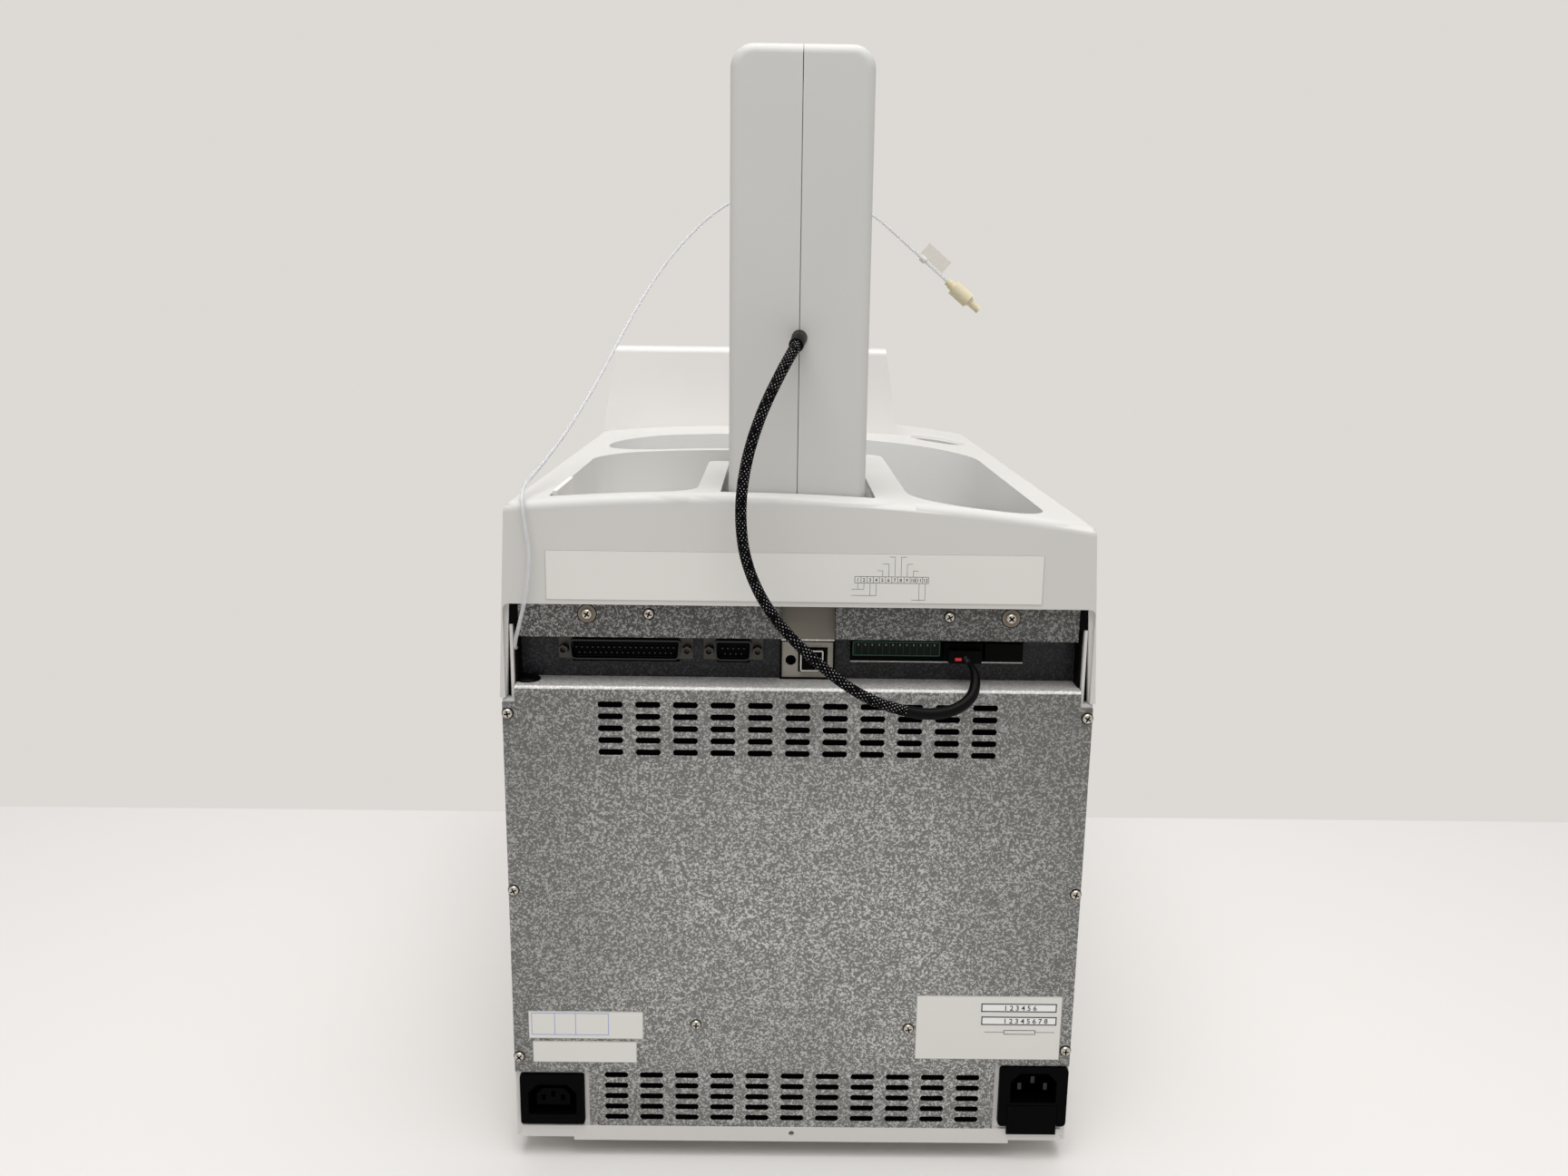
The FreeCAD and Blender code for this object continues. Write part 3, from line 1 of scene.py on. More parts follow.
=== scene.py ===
# %% [markdown]
# The object is the autosampler of an ion chromatograph, seen from the side with its connectors.
# Every rigid part comes from the packed CAD model, which is loaded as a fixed frame, so a new piece is
# placed by numbers and never by eye. The box of the bare CAD model is kept, to compare at the end.

# %% Load the frame
import json
import math

import bmesh
import bpy
from mathutils import Matrix, Vector
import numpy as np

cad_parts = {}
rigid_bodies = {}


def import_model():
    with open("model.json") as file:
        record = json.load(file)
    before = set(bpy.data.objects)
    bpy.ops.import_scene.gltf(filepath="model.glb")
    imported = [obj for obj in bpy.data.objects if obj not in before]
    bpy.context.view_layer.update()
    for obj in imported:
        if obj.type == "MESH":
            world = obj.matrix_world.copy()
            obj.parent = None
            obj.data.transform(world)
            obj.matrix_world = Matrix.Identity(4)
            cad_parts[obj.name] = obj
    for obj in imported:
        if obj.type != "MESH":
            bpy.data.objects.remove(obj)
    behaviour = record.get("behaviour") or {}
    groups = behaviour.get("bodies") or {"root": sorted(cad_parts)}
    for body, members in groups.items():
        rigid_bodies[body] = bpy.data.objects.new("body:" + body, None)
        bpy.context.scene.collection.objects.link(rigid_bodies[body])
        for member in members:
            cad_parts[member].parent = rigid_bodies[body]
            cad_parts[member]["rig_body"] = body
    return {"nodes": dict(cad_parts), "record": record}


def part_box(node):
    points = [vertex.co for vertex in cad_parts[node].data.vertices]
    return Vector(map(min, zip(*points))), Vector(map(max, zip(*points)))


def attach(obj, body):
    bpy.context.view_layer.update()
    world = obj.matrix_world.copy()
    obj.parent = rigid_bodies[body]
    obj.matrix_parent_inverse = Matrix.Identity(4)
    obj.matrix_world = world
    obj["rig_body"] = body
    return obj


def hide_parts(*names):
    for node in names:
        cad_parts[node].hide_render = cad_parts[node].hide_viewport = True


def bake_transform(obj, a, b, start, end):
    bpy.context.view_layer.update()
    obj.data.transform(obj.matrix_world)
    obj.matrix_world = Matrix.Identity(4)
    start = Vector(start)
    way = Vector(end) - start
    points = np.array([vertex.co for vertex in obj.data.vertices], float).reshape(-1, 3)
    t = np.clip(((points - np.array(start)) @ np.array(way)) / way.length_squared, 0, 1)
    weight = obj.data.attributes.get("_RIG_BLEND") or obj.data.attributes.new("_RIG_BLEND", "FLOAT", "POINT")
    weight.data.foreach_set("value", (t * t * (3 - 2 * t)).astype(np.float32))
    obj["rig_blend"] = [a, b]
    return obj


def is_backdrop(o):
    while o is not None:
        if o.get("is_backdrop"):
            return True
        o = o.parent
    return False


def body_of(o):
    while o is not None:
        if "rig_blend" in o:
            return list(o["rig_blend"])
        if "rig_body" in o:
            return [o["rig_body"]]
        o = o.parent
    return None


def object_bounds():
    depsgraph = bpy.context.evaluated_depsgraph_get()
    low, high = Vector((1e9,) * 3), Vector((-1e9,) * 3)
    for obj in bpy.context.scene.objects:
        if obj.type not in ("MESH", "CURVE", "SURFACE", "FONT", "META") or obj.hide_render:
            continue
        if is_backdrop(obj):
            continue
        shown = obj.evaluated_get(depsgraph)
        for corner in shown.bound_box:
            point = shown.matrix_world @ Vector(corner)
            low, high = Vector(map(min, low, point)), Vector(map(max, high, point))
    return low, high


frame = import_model()
nodes = frame["nodes"]
cad_low, cad_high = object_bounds()
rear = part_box("rear_panel")[1].y
print("rear panel's face at y = %.4f m" % rear)

# %% [markdown]
# The camera stands behind the instrument, a little above its top, and looks down by 12.4 degrees. These
# numbers come from a fit to the grid of vent slots, whose pitch is a known size, so they are worth more
# than a camera nudged until it looks right. The three world directions of the picture's right, down and
# forward make the columns of its rotation.

# %% Camera
camera_height = 0.45853
camera_distance = 0.62551
camera_side = 0.01249
picture_width = 1728
focal_pixels = 1420
picture_right = Vector((-0.99991, 0.00452, 0.01278))
picture_down = Vector((-0.01152, 0.21481, -0.97659))
picture_forward = Vector((-0.00716, -0.97664, -0.21474))
camera_data = bpy.data.cameras.new("camera")
camera_data.sensor_width = 36
camera_data.lens = focal_pixels * camera_data.sensor_width / picture_width
camera_data.clip_start = 0.02
camera = bpy.data.objects.new("camera", camera_data)
turn = Matrix((picture_right, -picture_down, -picture_forward)).transposed()
stand = Matrix.Translation((camera_side, rear + camera_distance, camera_height))
camera.matrix_world = stand @ turn.to_4x4()
bpy.context.collection.objects.link(camera)
bpy.context.scene.camera = camera
bpy.context.scene.view_settings.view_transform = "Standard"
looking_down = math.degrees(math.asin(-picture_forward.z))
print("lens %.1f mm, looking down %.1f degrees" % (camera_data.lens, looking_down))

# %% [markdown]
# A shader graph is easier to read as arithmetic. The class below wraps one output socket, and its
# operators add Math nodes, so `1 - mask * 0.4` is a line of maths and also a piece of the graph. The
# reflected operators are what lets the plain number stand first.

# %% Shader maths
class Link:
    def __init__(self, paint, socket):
        self.paint = paint
        self.socket = socket

    def _maths(self, operation, first, second=None, third=None):
        inputs = {0: first}
        if second is not None:
            inputs[1] = second
        if third is not None:
            inputs[2] = third
        return self.paint.node("ShaderNodeMath", {"operation": operation}, inputs)

    def __add__(self, other):
        return self._maths("ADD", self, other)

    def __radd__(self, other):
        return self._maths("ADD", other, self)

    def __sub__(self, other):
        return self._maths("SUBTRACT", self, other)

    def __rsub__(self, other):
        return self._maths("SUBTRACT", other, self)

    def __mul__(self, other):
        return self._maths("MULTIPLY", self, other)

    def __rmul__(self, other):
        return self._maths("MULTIPLY", other, self)

    def above(self, edge, soft):
        """Rises from 0 to 1 as the value passes edge, over a width of soft."""
        clamped = {"operation": "MULTIPLY_ADD", "use_clamp": True}
        return self.paint.node("ShaderNodeMath", clamped, {0: self, 1: 1 / soft, 2: 0.5 - edge / soft})

    def below(self, edge, soft):
        return 1 - self.above(edge, soft)


print("a link's own methods:", [name for name in vars(Link) if not name.startswith("__")])

# %% [markdown]
# A finish is one material with a Principled shader. What is the same all over is set on the shader's own
# sockets, and what varies comes in as a link. One method, `node`, adds any other node from its type, its
# settings and the values or links of its sockets, and the short methods below it name the few recipes
# that this object needs.

# %% A finish
class Paint:
    """One material, with its shader's plain values set by name."""

    def __init__(self, name, colour, roughness=0.5, metallic=0.0, **values):
        self.material = bpy.data.materials.new(name)
        self.material.use_nodes = True
        self.tree = self.material.node_tree
        self.shader = self.tree.nodes["Principled BSDF"]
        self.set("Base Color", colour)
        self.set("Roughness", roughness)
        self.set("Metallic", metallic)
        for socket, value in values.items():
            self.set(socket.replace("_", " "), value)

    def set(self, socket, value):
        place = self.shader.inputs[socket]
        if isinstance(value, Link):
            self.tree.links.new(value.socket, place)
        elif isinstance(value, (tuple, list)):
            place.default_value = (*value, 1)
        else:
            place.default_value = value

    def node(self, kind, settings=None, inputs=None, output=0):
        node = self.tree.nodes.new(kind)
        for name, value in (settings or {}).items():
            if name == "stops":
                self._stops(node.color_ramp, value)
            else:
                setattr(node, name, value)
        for key, value in (inputs or {}).items():
            if isinstance(value, Link):
                self.tree.links.new(value.socket, node.inputs[key])
            elif isinstance(value, tuple) and node.inputs[key].type == "RGBA":
                node.inputs[key].default_value = (*value, 1)
            else:
                node.inputs[key].default_value = value
        return Link(self, node.outputs[output])

    def _stops(self, ramp, stops):
        while len(ramp.elements) < len(stops):
            ramp.elements.new(1)
        for element, (place, value) in zip(ramp.elements, stops):
            element.position = place
            element.color = (*value, 1) if isinstance(value, tuple) else (value, value, value, 1)

    def place(self):
        return self.node("ShaderNodeTexCoord", output="Object")

    def stretched(self, scale):
        return self.node("ShaderNodeMapping", inputs={"Vector": self.place(), "Scale": scale})

    def noise(self, scale, detail=2.0, vector=None):
        vector = vector or self.place()
        return self.node("ShaderNodeTexNoise", inputs={"Vector": vector, "Scale": scale, "Detail": detail})

    def mix(self, factor, first, second):
        settings = {"data_type": "RGBA"}
        return self.node("ShaderNodeMix", settings, {0: factor, 6: first, 7: second}, output=2)

    def ramp(self, factor, stops):
        return self.node("ShaderNodeValToRGB", {"stops": stops}, {"Fac": factor})

    def bump(self, height, distance, strength=1.0):
        values = {"Height": height, "Distance": distance, "Strength": strength}
        self.set("Normal", self.node("ShaderNodeBump", inputs=values))


print("a finish can add", [name for name in vars(Paint) if not name.startswith("_")])

# %% [markdown]
# A colour picked from a photograph is in display values from 0 to 255, but a shader needs linear light.
# This helper turns one into the other, so every colour below can be written as it looks.

# %% Colours as they look
def shade(red, green, blue):
    values = [v / 255 for v in (red, green, blue)]
    return tuple(v / 12.92 if v <= 0.04045 else ((v + 0.055) / 1.055) ** 2.4 for v in values)


def coat(node, paint):
    """Gives a CAD node, or any piece, one material."""
    piece = nodes[node] if isinstance(node, str) else node
    piece.data.materials.clear()
    piece.data.materials.append(paint.material)


print("a mid grey of 128 is %.3f in linear light" % shade(128, 128, 128)[0])

# %% [markdown]
# A cord is a line with a thickness. A few points give its route, and a NURBS spline of order three
# smooths them, as a real cord would lie. The order and the open ends are set after the points are there,
# because set before, they would leave straight runs.

# %% Spline along a route
def spline_curve(name, route, radius=0.0, start=0.0, end=1.0, sides=6, widths=None):
    curve = bpy.data.curves.new(name, "CURVE")
    curve.dimensions = "3D"
    curve.bevel_depth = radius
    curve.bevel_resolution = sides
    curve.use_fill_caps = radius > 0
    curve.bevel_factor_start = start
    curve.bevel_factor_end = end
    curve.bevel_factor_mapping_start = "SPLINE"
    curve.bevel_factor_mapping_end = "SPLINE"
    spline = curve.splines.new("NURBS")
    spline.points.add(len(route) - 1)
    for count, (point, place) in enumerate(zip(spline.points, route)):
        point.co = (*place, 1)
        point.radius = (widths or {}).get(count - len(route), 1.0)
    spline.order_u = 3
    spline.use_endpoint_u = True
    spline.resolution_u = 12
    return curve


print("the spline's helper takes", spline_curve.__code__.co_varnames[:spline_curve.__code__.co_argcount])

# %% [markdown]
# A curve becomes a mesh before it is used, so that its length can be measured and its ends capped. The
# same spline without a thickness gives the points of its middle line, and their distances add up to the
# cord's real length.

# %% From spline to mesh
def as_mesh(curve, name):
    """Turns a curve into a mesh piece that sits at the origin."""
    holder = bpy.data.objects.new(name + "_curve", curve)
    bpy.context.collection.objects.link(holder)
    bpy.context.view_layer.update()
    shown = holder.evaluated_get(bpy.context.evaluated_depsgraph_get())
    mesh = bpy.data.meshes.new_from_object(shown)
    bpy.data.objects.remove(holder)
    mesh.name = name
    piece = bpy.data.objects.new(name, mesh)
    bpy.context.collection.objects.link(piece)
    return piece


def line_points(route):
    """The points of the smooth line itself, read from its spline without a thickness."""
    thin = as_mesh(spline_curve("line", route), "line")
    points = [vertex.co.copy() for vertex in thin.data.vertices]
    bpy.data.objects.remove(thin)
    return points


def run_length(points):
    return sum((b - a).length for a, b in zip(points, points[1:]))


def millimetres(points):
    """Route points given as x, distance in from the rear face and z, all in millimetres."""
    return [Vector((x / 1000, rear - d / 1000, z / 1000)) for x, d, z in points]


print("a route's depth is measured in from y = %.1f mm" % (rear * 1000))

# %% [markdown]
# The cord between the tower and its connector is a braided sleeve over thin wires. It leaves the tower
# straight out, falls in one loose loop and turns up into its plug. The route's points are the same ones
# that the CAD solid follows. The sleeve narrows where it enters the plug, and two plain tubes are drawn
# over the same line: a boot at the tower and a shrink tube at the plug.

# %% Signal cable
plug_low, plug_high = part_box("signal_plug")
gland_low, gland_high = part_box("tower_gland")
gland_middle = (gland_low + gland_high) / 2
plug_middle = (plug_low + plug_high) / 2
cable_start = Vector((gland_middle.x, gland_high.y + 0.0003, gland_middle.z))
cable_end = Vector((plug_middle.x, plug_high.y + 0.0011, plug_middle.z))
cable_route = [cable_start] + millimetres([
    (2.6, -9, 441.8), (10, -20.5, 429.5), (20, -27, 409), (27, -29, 386), (29.5, -28, 362),
    (26.5, -27, 338), (15, -26, 314), (-5, -25, 292), (-30, -25, 272.5), (-56, -25, 264),
    (-74, -22.5, 264), (-86, -15.5, 269.5), (-89, -5.5, 277.5), (-87.2, 0.9, 281.9),
]) + [cable_end]
cable_radius = 0.0027
boot_radius = 0.0036
shrink_radius = 0.0029
plug_widths = {-1: 0.45, -2: 0.5, -3: 0.85}
signal_cable = as_mesh(spline_curve("braid", cable_route, cable_radius, sides=5, widths=plug_widths),
                       "signal_cable_braid")
cable_boot = as_mesh(spline_curve("boot", cable_route, boot_radius, 0.0, 0.05, 5), "cable_boot")
cable_shrink = as_mesh(spline_curve("shrink", cable_route, shrink_radius, 0.79, 0.985, 5, plug_widths),
                       "cable_shrink")
cable_line = line_points(cable_route)
print("cable length %.3f m, uv layers %s" % (run_length(cable_line), len(signal_cable.data.uv_layers)))

# %% [markdown]
# The sample tubing is clear plastic, two millimetres thick. It comes out from behind the cover's corner
# post, runs up the rear face and over the cover's shoulder, crosses behind the tower and ends in a union
# fitting. It is stiff enough to stand in one wide arch, so its route has few points and no hanging belly.

# %% Sample tubing
tube_start = Vector((0.1436, rear - 0.0085, 0.2866))
tube_route = [tube_start] + millimetres([
    (143.2, 3.4, 287.4), (142, -1.6, 293), (138.8, -3.8, 303), (134.5, -4.2, 320), (133, -4.2, 338),
    (135, -4.2, 352.5), (136.5, -3.1, 364.3), (137, 7.5, 369.7), (136, 22, 372), (133, 50, 378),
    (130, 85, 386), (127, 120, 395.5), (122, 160, 410), (112, 200, 436), (100, 230, 463),
    (80, 256, 494.5), (50, 275, 525), (2, 284, 543), (-48, 285, 522.5), (-75, 282, 499.5),
    (-102.6, 278, 475.6),
])
tube_radius = 0.001
sample_tubing = as_mesh(spline_curve("tubing", tube_route, tube_radius, sides=4), "sample_tubing_clear")
tube_line = line_points(tube_route)
print("tubing length %.3f m" % run_length(tube_line))

# %% [markdown]
# The record names a finish for every node. A scene that shows the object again can repaint it by that
# name, and the table below reads those names by node.

# %% Finishes named in the record
slots = {part["node"]: part["material_slot"] for part in frame["record"]["subparts"]}
print(len(slots), "nodes share", len(set(slots.values())), "finishes")

# %% [markdown]
# The sleeve is the one piece between two moving bodies: its lower end stays with the chassis and its upper
# end goes with the tower, so it blends from one to the other. The boot at the tower and the shrink tube at
# the plug each ride on one body.

# %% Attach the cords
for piece, body in ((cable_boot, "tower"), (cable_shrink, "chassis"), (sample_tubing, "chassis")):
    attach(piece, body)
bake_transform(signal_cable, "chassis", "tower", start=(0, rear + 0.02, 0.30), end=(0, rear + 0.02, 0.44))
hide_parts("signal_cable")
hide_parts("sample_tubing")
print("the sleeve is %.1f mm thick and its boot %.1f mm" % (2000 * cable_radius, 2000 * boot_radius))

# %% [markdown]
# A CAD mesh is loose triangles, so a rounded edge shows its facets. A copy with its doubles merged can be
# shaded smooth: edges sharper than a given angle stay sharp, and a Weighted Normal modifier keeps the big
# flat faces flat beside their rounded rims.

# %% Merged copies and cuts
def merged(mesh, name):
    shape = bmesh.new()
    shape.from_mesh(mesh)
    bmesh.ops.remove_doubles(shape, verts=shape.verts, dist=0.000002)
    copy = bpy.data.meshes.new(name)
    shape.to_mesh(copy)
    shape.free()
    return copy


def cut(mesh, cutter):
    """The first mesh less the second, made with a Boolean modifier."""
    body = bpy.data.objects.new("cut_body", mesh)
    tool = bpy.data.objects.new("cut_tool", cutter)
    for thing in (body, tool):
        bpy.context.collection.objects.link(thing)
    boolean = body.modifiers.new("recess", "BOOLEAN")
    boolean.operation = "DIFFERENCE"
    boolean.solver = "EXACT"
    boolean.use_self = True
    boolean.object = tool
    bpy.context.view_layer.update()
    made = bpy.data.meshes.new_from_object(body.evaluated_get(bpy.context.evaluated_depsgraph_get()))
    for thing in (body, tool):
        bpy.data.objects.remove(thing)
    return made


print("before its doubles are merged, the cover has", len(nodes["top_cover"].data.vertices), "corners")

# %% [markdown]
# The cover's recess over the connectors is a little wider on the real object than in the CAD model. Thin
# upright edges of the side panels show at its two ends. A cutter with rounded upper corners widens it in
# the cover's copy, and it is made by bevelling the two edges that run into the cover.

# %% Wider recess
def block(shape, x, d, z, bevel=0.0):
    """A box from x, distances in from the rear face and z, in millimetres, with its edges eased."""
    made = bmesh.ops.create_cube(shape, size=1)["verts"]
    size = (abs(x[1] - x[0]) / 1000, abs(d[1] - d[0]) / 1000, abs(z[1] - z[0]) / 1000)
    middle = ((x[0] + x[1]) / 2000, rear - (d[0] + d[1]) / 2000, (z[0] + z[1]) / 2000)
    bmesh.ops.scale(shape, verts=made, vec=size)
    bmesh.ops.translate(shape, verts=made, vec=middle)
    if bevel:
        edges = list({edge for vert in made for edge in vert.link_edges})
        bmesh.ops.bevel(shape, geom=edges, offset=bevel / 1000, offset_type="OFFSET", segments=2,
                        profile=0.5, affect="EDGES", material=-1, clamp_overlap=True)
    return made


recess_half = 148.1
recess_top = 311.48
cover_wall = 3.05
corner_radius = 0.003
recess = bmesh.new()
block(recess, (-recess_half, recess_half), (-5, cover_wall), (230, recess_top))
ends = [edge for edge in recess.edges
        if abs(edge.verts[0].co.y - edge.verts[1].co.y) > 0.001 and edge.verts[0].co.z > 0.3]
bmesh.ops.bevel(recess, geom=ends, offset=corner_radius, offset_type="OFFSET", segments=6, profile=0.5,
                affect="EDGES", material=-1)
wider_recess = bpy.data.meshes.new("wider_recess")
recess.to_mesh(wider_recess)
recess.free()
print("the recess is %.1f mm wide" % (2 * recess_half))

# %% [markdown]
# The wall round the carousel's opening hangs a little deeper at its far side than in the CAD model, so no
# gap shows under it from the camera. Only the vertices of its lower edge move, and only outside the circle
# that the vials sweep.

# %% Deeper far wall
far_wall_drop = 0.007
wall_edge_height = 0.326
swept_radius = 0.118


def deepen_the_far_wall(mesh):
    turntable_low, turntable_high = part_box("turntable")
    centre = (turntable_low + turntable_high) / 2
    for vert in mesh.vertices:
        place = vert.co
        out = math.hypot(place.x - centre.x, place.y - centre.y)
        far_side = abs(place.x) < 0.131 and -0.075 < place.y < -0.01
        if far_side and abs(place.z - wall_edge_height) < 0.0002 and out > swept_radius:
            place.z -= far_wall_drop


print("the far wall hangs %.0f mm deeper" % (1000 * far_wall_drop))

# %% [markdown]
# The smooth copy of each moulded part rides on the body of the part it stands for and replaces it. The
# angle above which an edge stays sharp is wider than the step between two facets of a round.
# On the cover and the control head, triangles that lie in one plane are joined to whole faces first, so
# that each flat face weighs by its real area where it meets a rounded rim.

# %% Smooth copies of moulded parts
usual_angle = 32
wide_angle = {"top_cover": 62, "control_head": 45}
flat_angle = math.radians(0.1)


def smoothed(node, degrees):
    source = nodes[node]
    mesh = merged(source.data, node + "_merged")
    if node == "top_cover":
        mesh = cut(mesh, wider_recess)
        deepen_the_far_wall(mesh)
    shape = bmesh.new()
    shape.from_mesh(mesh)
    if node in wide_angle:
        bmesh.ops.dissolve_limit(shape, angle_limit=flat_angle, verts=shape.verts, edges=shape.edges)
    for face in shape.faces:
        face.smooth = True
    for edge in shape.edges:
        edge.smooth = edge.is_manifold and edge.calc_face_angle(0) < math.radians(degrees)
    mesh = bpy.data.meshes.new(node + "_moulded")
    shape.to_mesh(mesh)
    shape.free()
    piece = bpy.data.objects.new(node + "_moulded", mesh)
    bpy.context.collection.objects.link(piece)
    weighted = piece.modifiers.new("even_shading", "WEIGHTED_NORMAL")
    weighted.keep_sharp = True
    weighted.weight = 100
    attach(piece, body_of(source)[0])
    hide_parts(node)
    return piece


round_nodes = ["top_cover", "tower_shell_left", "tower_shell_right", "control_head", "rinse_cup",
               "feet", "union_fitting", "tower_gland", "sample_vials", "vial_caps", "slide_rods",
               "slide_screw", "needle", "syringe_barrel", "wash_cup", "turntable", "vial_tray", "spindle",
               "rear_panel", "usb_card_bracket", "front_door", "valve_stator", "valve_rotor", "lift_screw",
               "syringe_plunger"]
moulded = {node: smoothed(node, wide_angle.get(node, usual_angle)) for node in round_nodes}
print(len(moulded), "nodes have a smooth copy")

# %% [markdown]
# The housing is off-white moulded plastic with a fine spark texture. The texture is far too small to
# model, so a noise of about half a millimetre drives a weak bump, and a much wider one shifts the tone a
# little, as light wear and old plastic do.

# %% Moulded plastics
def moulded_plastic(name, colour, roughness, grain=1800.0, depth=0.00004):
    paint = Paint(name, colour, roughness)
    cloud = paint.noise(7.0, 3.0)
    darker = tuple(v * 0.93 for v in colour)
    paint.set("Base Color", paint.mix(cloud.above(0.5, 0.5), darker, colour))
    fine = paint.noise(grain, 1.0)
    paint.set("Roughness", roughness - 0.06 + fine * 0.12)
    paint.bump(fine, depth, 0.35)
    return paint


def coat_where(piece, paint, test):
    """Gives a second paint to the faces that pass a test on their middle and normal."""
    piece.data.materials.append(paint.material)
    count = 0
    for face in piece.data.polygons:
        if test(face.center, face.normal):
            face.material_index = len(piece.data.materials) - 1
            count += 1
    return count


print("the grain is about %.2f mm wide" % (1000 / moulded_plastic.__defaults__[0]))

# %% [markdown]
# The control head is given a lighter tone than the cover, as painted light, and the tower a darker one,
# as painted shade. The walls of the wells face the room's light less than the top does, so they get a
# lighter tone as painted light, and the reagent pocket a milder one. The head's flat top keeps the
# cover's tone, so the head's painted light stays on its sides.

# %% Cover, head and tower
cover_plastic = moulded_plastic("cover_plastic", shade(217, 215, 211), 0.48)
# Painted light on the head, and painted shade on the tower.
head_plastic = moulded_plastic("head_plastic", shade(242, 239, 236), 0.46)
tower_plastic = moulded_plastic("tower_plastic", shade(209, 208, 204), 0.5)
for node in ("top_cover", "rinse_cup", "front_door"):
    coat(moulded[node], cover_plastic)
coat(moulded["control_head"], head_plastic)
# The head's flat top keeps the cover's tone, so its painted light stays on the sides.
head_top = coat_where(moulded["control_head"], cover_plastic, lambda middle, up: up.z > 0.8)
print(head_top, "faces on the head's top")
# Painted light: the walls of the wells and of the pocket are lighter than the cover.
well_plastic = moulded_plastic("well_plastic", shade(250, 249, 247), 0.4)
pocket_plastic = moulded_plastic("pocket_plastic", shade(226, 225, 221), 0.42)


def in_a_well(middle, up):
    inside = abs(middle.x) < 0.146 and middle.y < rear - 0.004
    return inside and up.z < 0.6


def in_the_pocket(middle, up):
    return in_a_well(middle, up) and middle.x > 0.03 and middle.y > 0.03


print(coat_where(moulded["top_cover"], well_plastic, in_a_well), "faces inside the wells")
print(coat_where(moulded["top_cover"], pocket_plastic, in_the_pocket), "of them in the pocket")
for node in ("tower_shell_left", "tower_shell_right"):
    coat(moulded[node], tower_plastic)

# %% [markdown]
# The rear panel is hot-dip galvanised sheet. Its zinc freezes in small crystals, the spangle, and each
# crystal reflects the room in its own way. A Voronoi texture gives the crystals: the cell's own random
# colour sets how bright and how rough it is, and a warped second layer adds the thin bright flecks.

# %% Galvanised sheet
def galvanised(name, dark, bright, fleck, cell=1300.0, dull_rim=0.0):
    paint = Paint(name, bright, 0.45, 0.3)
    warp = paint.node("ShaderNodeTexNoise", output="Color",
                      inputs={"Vector": paint.place(), "Scale": 640.0})
    moved = paint.node("ShaderNodeVectorMath", {"operation": "MULTIPLY_ADD"},
                       {0: warp, 1: (0.0028, 0.0028, 0.0028), 2: paint.place()})
    crystals = paint.node("ShaderNodeTexVoronoi", inputs={"Vector": moved, "Scale": cell}, output="Color")
    tone = paint.node("ShaderNodeSeparateColor", inputs={0: crystals}, output=0)
    flecks = tone.above(0.68, 0.14)
    wide = paint.noise(11.0, 3.0)
    base = paint.mix(tone * 0.6 + wide * 0.4, dark, bright)
    colour = paint.mix(flecks * (0.3 + wide * 0.8), base, fleck)
    # Painted shade: the colour darkens away from a point in the middle of the rear panel, by the given
    # share.
    if dull_rim:
        out = paint.node("ShaderNodeVectorMath", {"operation": "DISTANCE"},
                         {0: paint.place(), 1: (0, rear, 0.13)}, output=1)
        duller = tuple(v * 0.45 for v in dark)
        colour = paint.mix(out.above(0.135, 0.13) * dull_rim, colour, duller)
    paint.set("Base Color", colour)
    paint.set("Roughness", 0.4 + tone * 0.2)
    paint.bump(tone, 0.00002, 0.2)
    return paint


print("one crystal is about %.1f mm wide" % (1000 / galvanised.__defaults__[0]))

# %% [markdown]
# The same sheet is given a different tone in each place, as painted light and shade: mid grey on the
# panel with a painted shade towards its rim, darker on the strip and nearly black deep in the recess as
# painted shade, almost white on the shelf as painted light, and a painted highlight on each fold that
# faces the lamps. The card's bracket is plain beige plate, with a paler front.

# %% Tones of the zinc
zinc = galvanised("galvanised", shade(110, 110, 107), shade(136, 136, 133), shade(226, 226, 225),
                  dull_rim=0.55)
# Painted shade on the strip and in the recess, painted light on the shelf, painted highlight on folds.
strip_zinc = galvanised("galvanised_strip", shade(60, 60, 58), shade(80, 80, 78), shade(160, 160, 158))
recess_zinc = galvanised("galvanised_recess", shade(5, 5, 7), shade(12, 12, 15), shade(64, 66, 74))
shelf_zinc = galvanised("galvanised_shelf", shade(188, 186, 182), shade(212, 209, 205),
                        shade(238, 236, 233))
fold_zinc = galvanised("galvanised_fold", shade(190, 189, 186), shade(214, 213, 210), shade(240, 240, 238))
card_plate = moulded_plastic("card_plate", shade(114, 109, 98), 0.42, 700.0)
card_front = moulded_plastic("card_front", shade(170, 165, 153), 0.4, 700.0)
for node in ("component_panel", "power_supply"):
    coat(node, zinc)
coat("connector_plate", recess_zinc)
coat("cross_strip", strip_zinc)
card = moulded["usb_card_bracket"]
coat(card, card_plate)
# Painted highlight: the bracket's upward faces take the bright fold tone.
folded = coat_where(card, fold_zinc, lambda middle, up: up.z > 0.7)
fronts = coat_where(card, card_front, lambda middle, up: up.y > 0.7 and middle.y < rear - 0.016)
print(folded, "faces on the bracket's fold and", fronts, "on its front")

# %% [markdown]
# One sheet can show more than one tone. The panel's top is folded in to make the shelf, which faces the
# ceiling and gets a painted light, and the bend between them gets a painted highlight. So the copy of the
# panel has three materials, and each face takes its own from where it lies and which way it looks.

# %% Panel, bend and shelf
panel = moulded["rear_panel"]
coat(panel, zinc)
shelf_top = max(corner.co.z for corner in panel.data.vertices)
flat = coat_where(panel, shelf_zinc, lambda middle, up: up.z > 0.97 and middle.z > shelf_top - 0.001)
bent = coat_where(panel, fold_zinc, lambda middle, up: 0.3 < up.z <= 0.97 and middle.z > shelf_top - 0.005)
print(flat, "faces on the shelf and", bent, "on its bend")
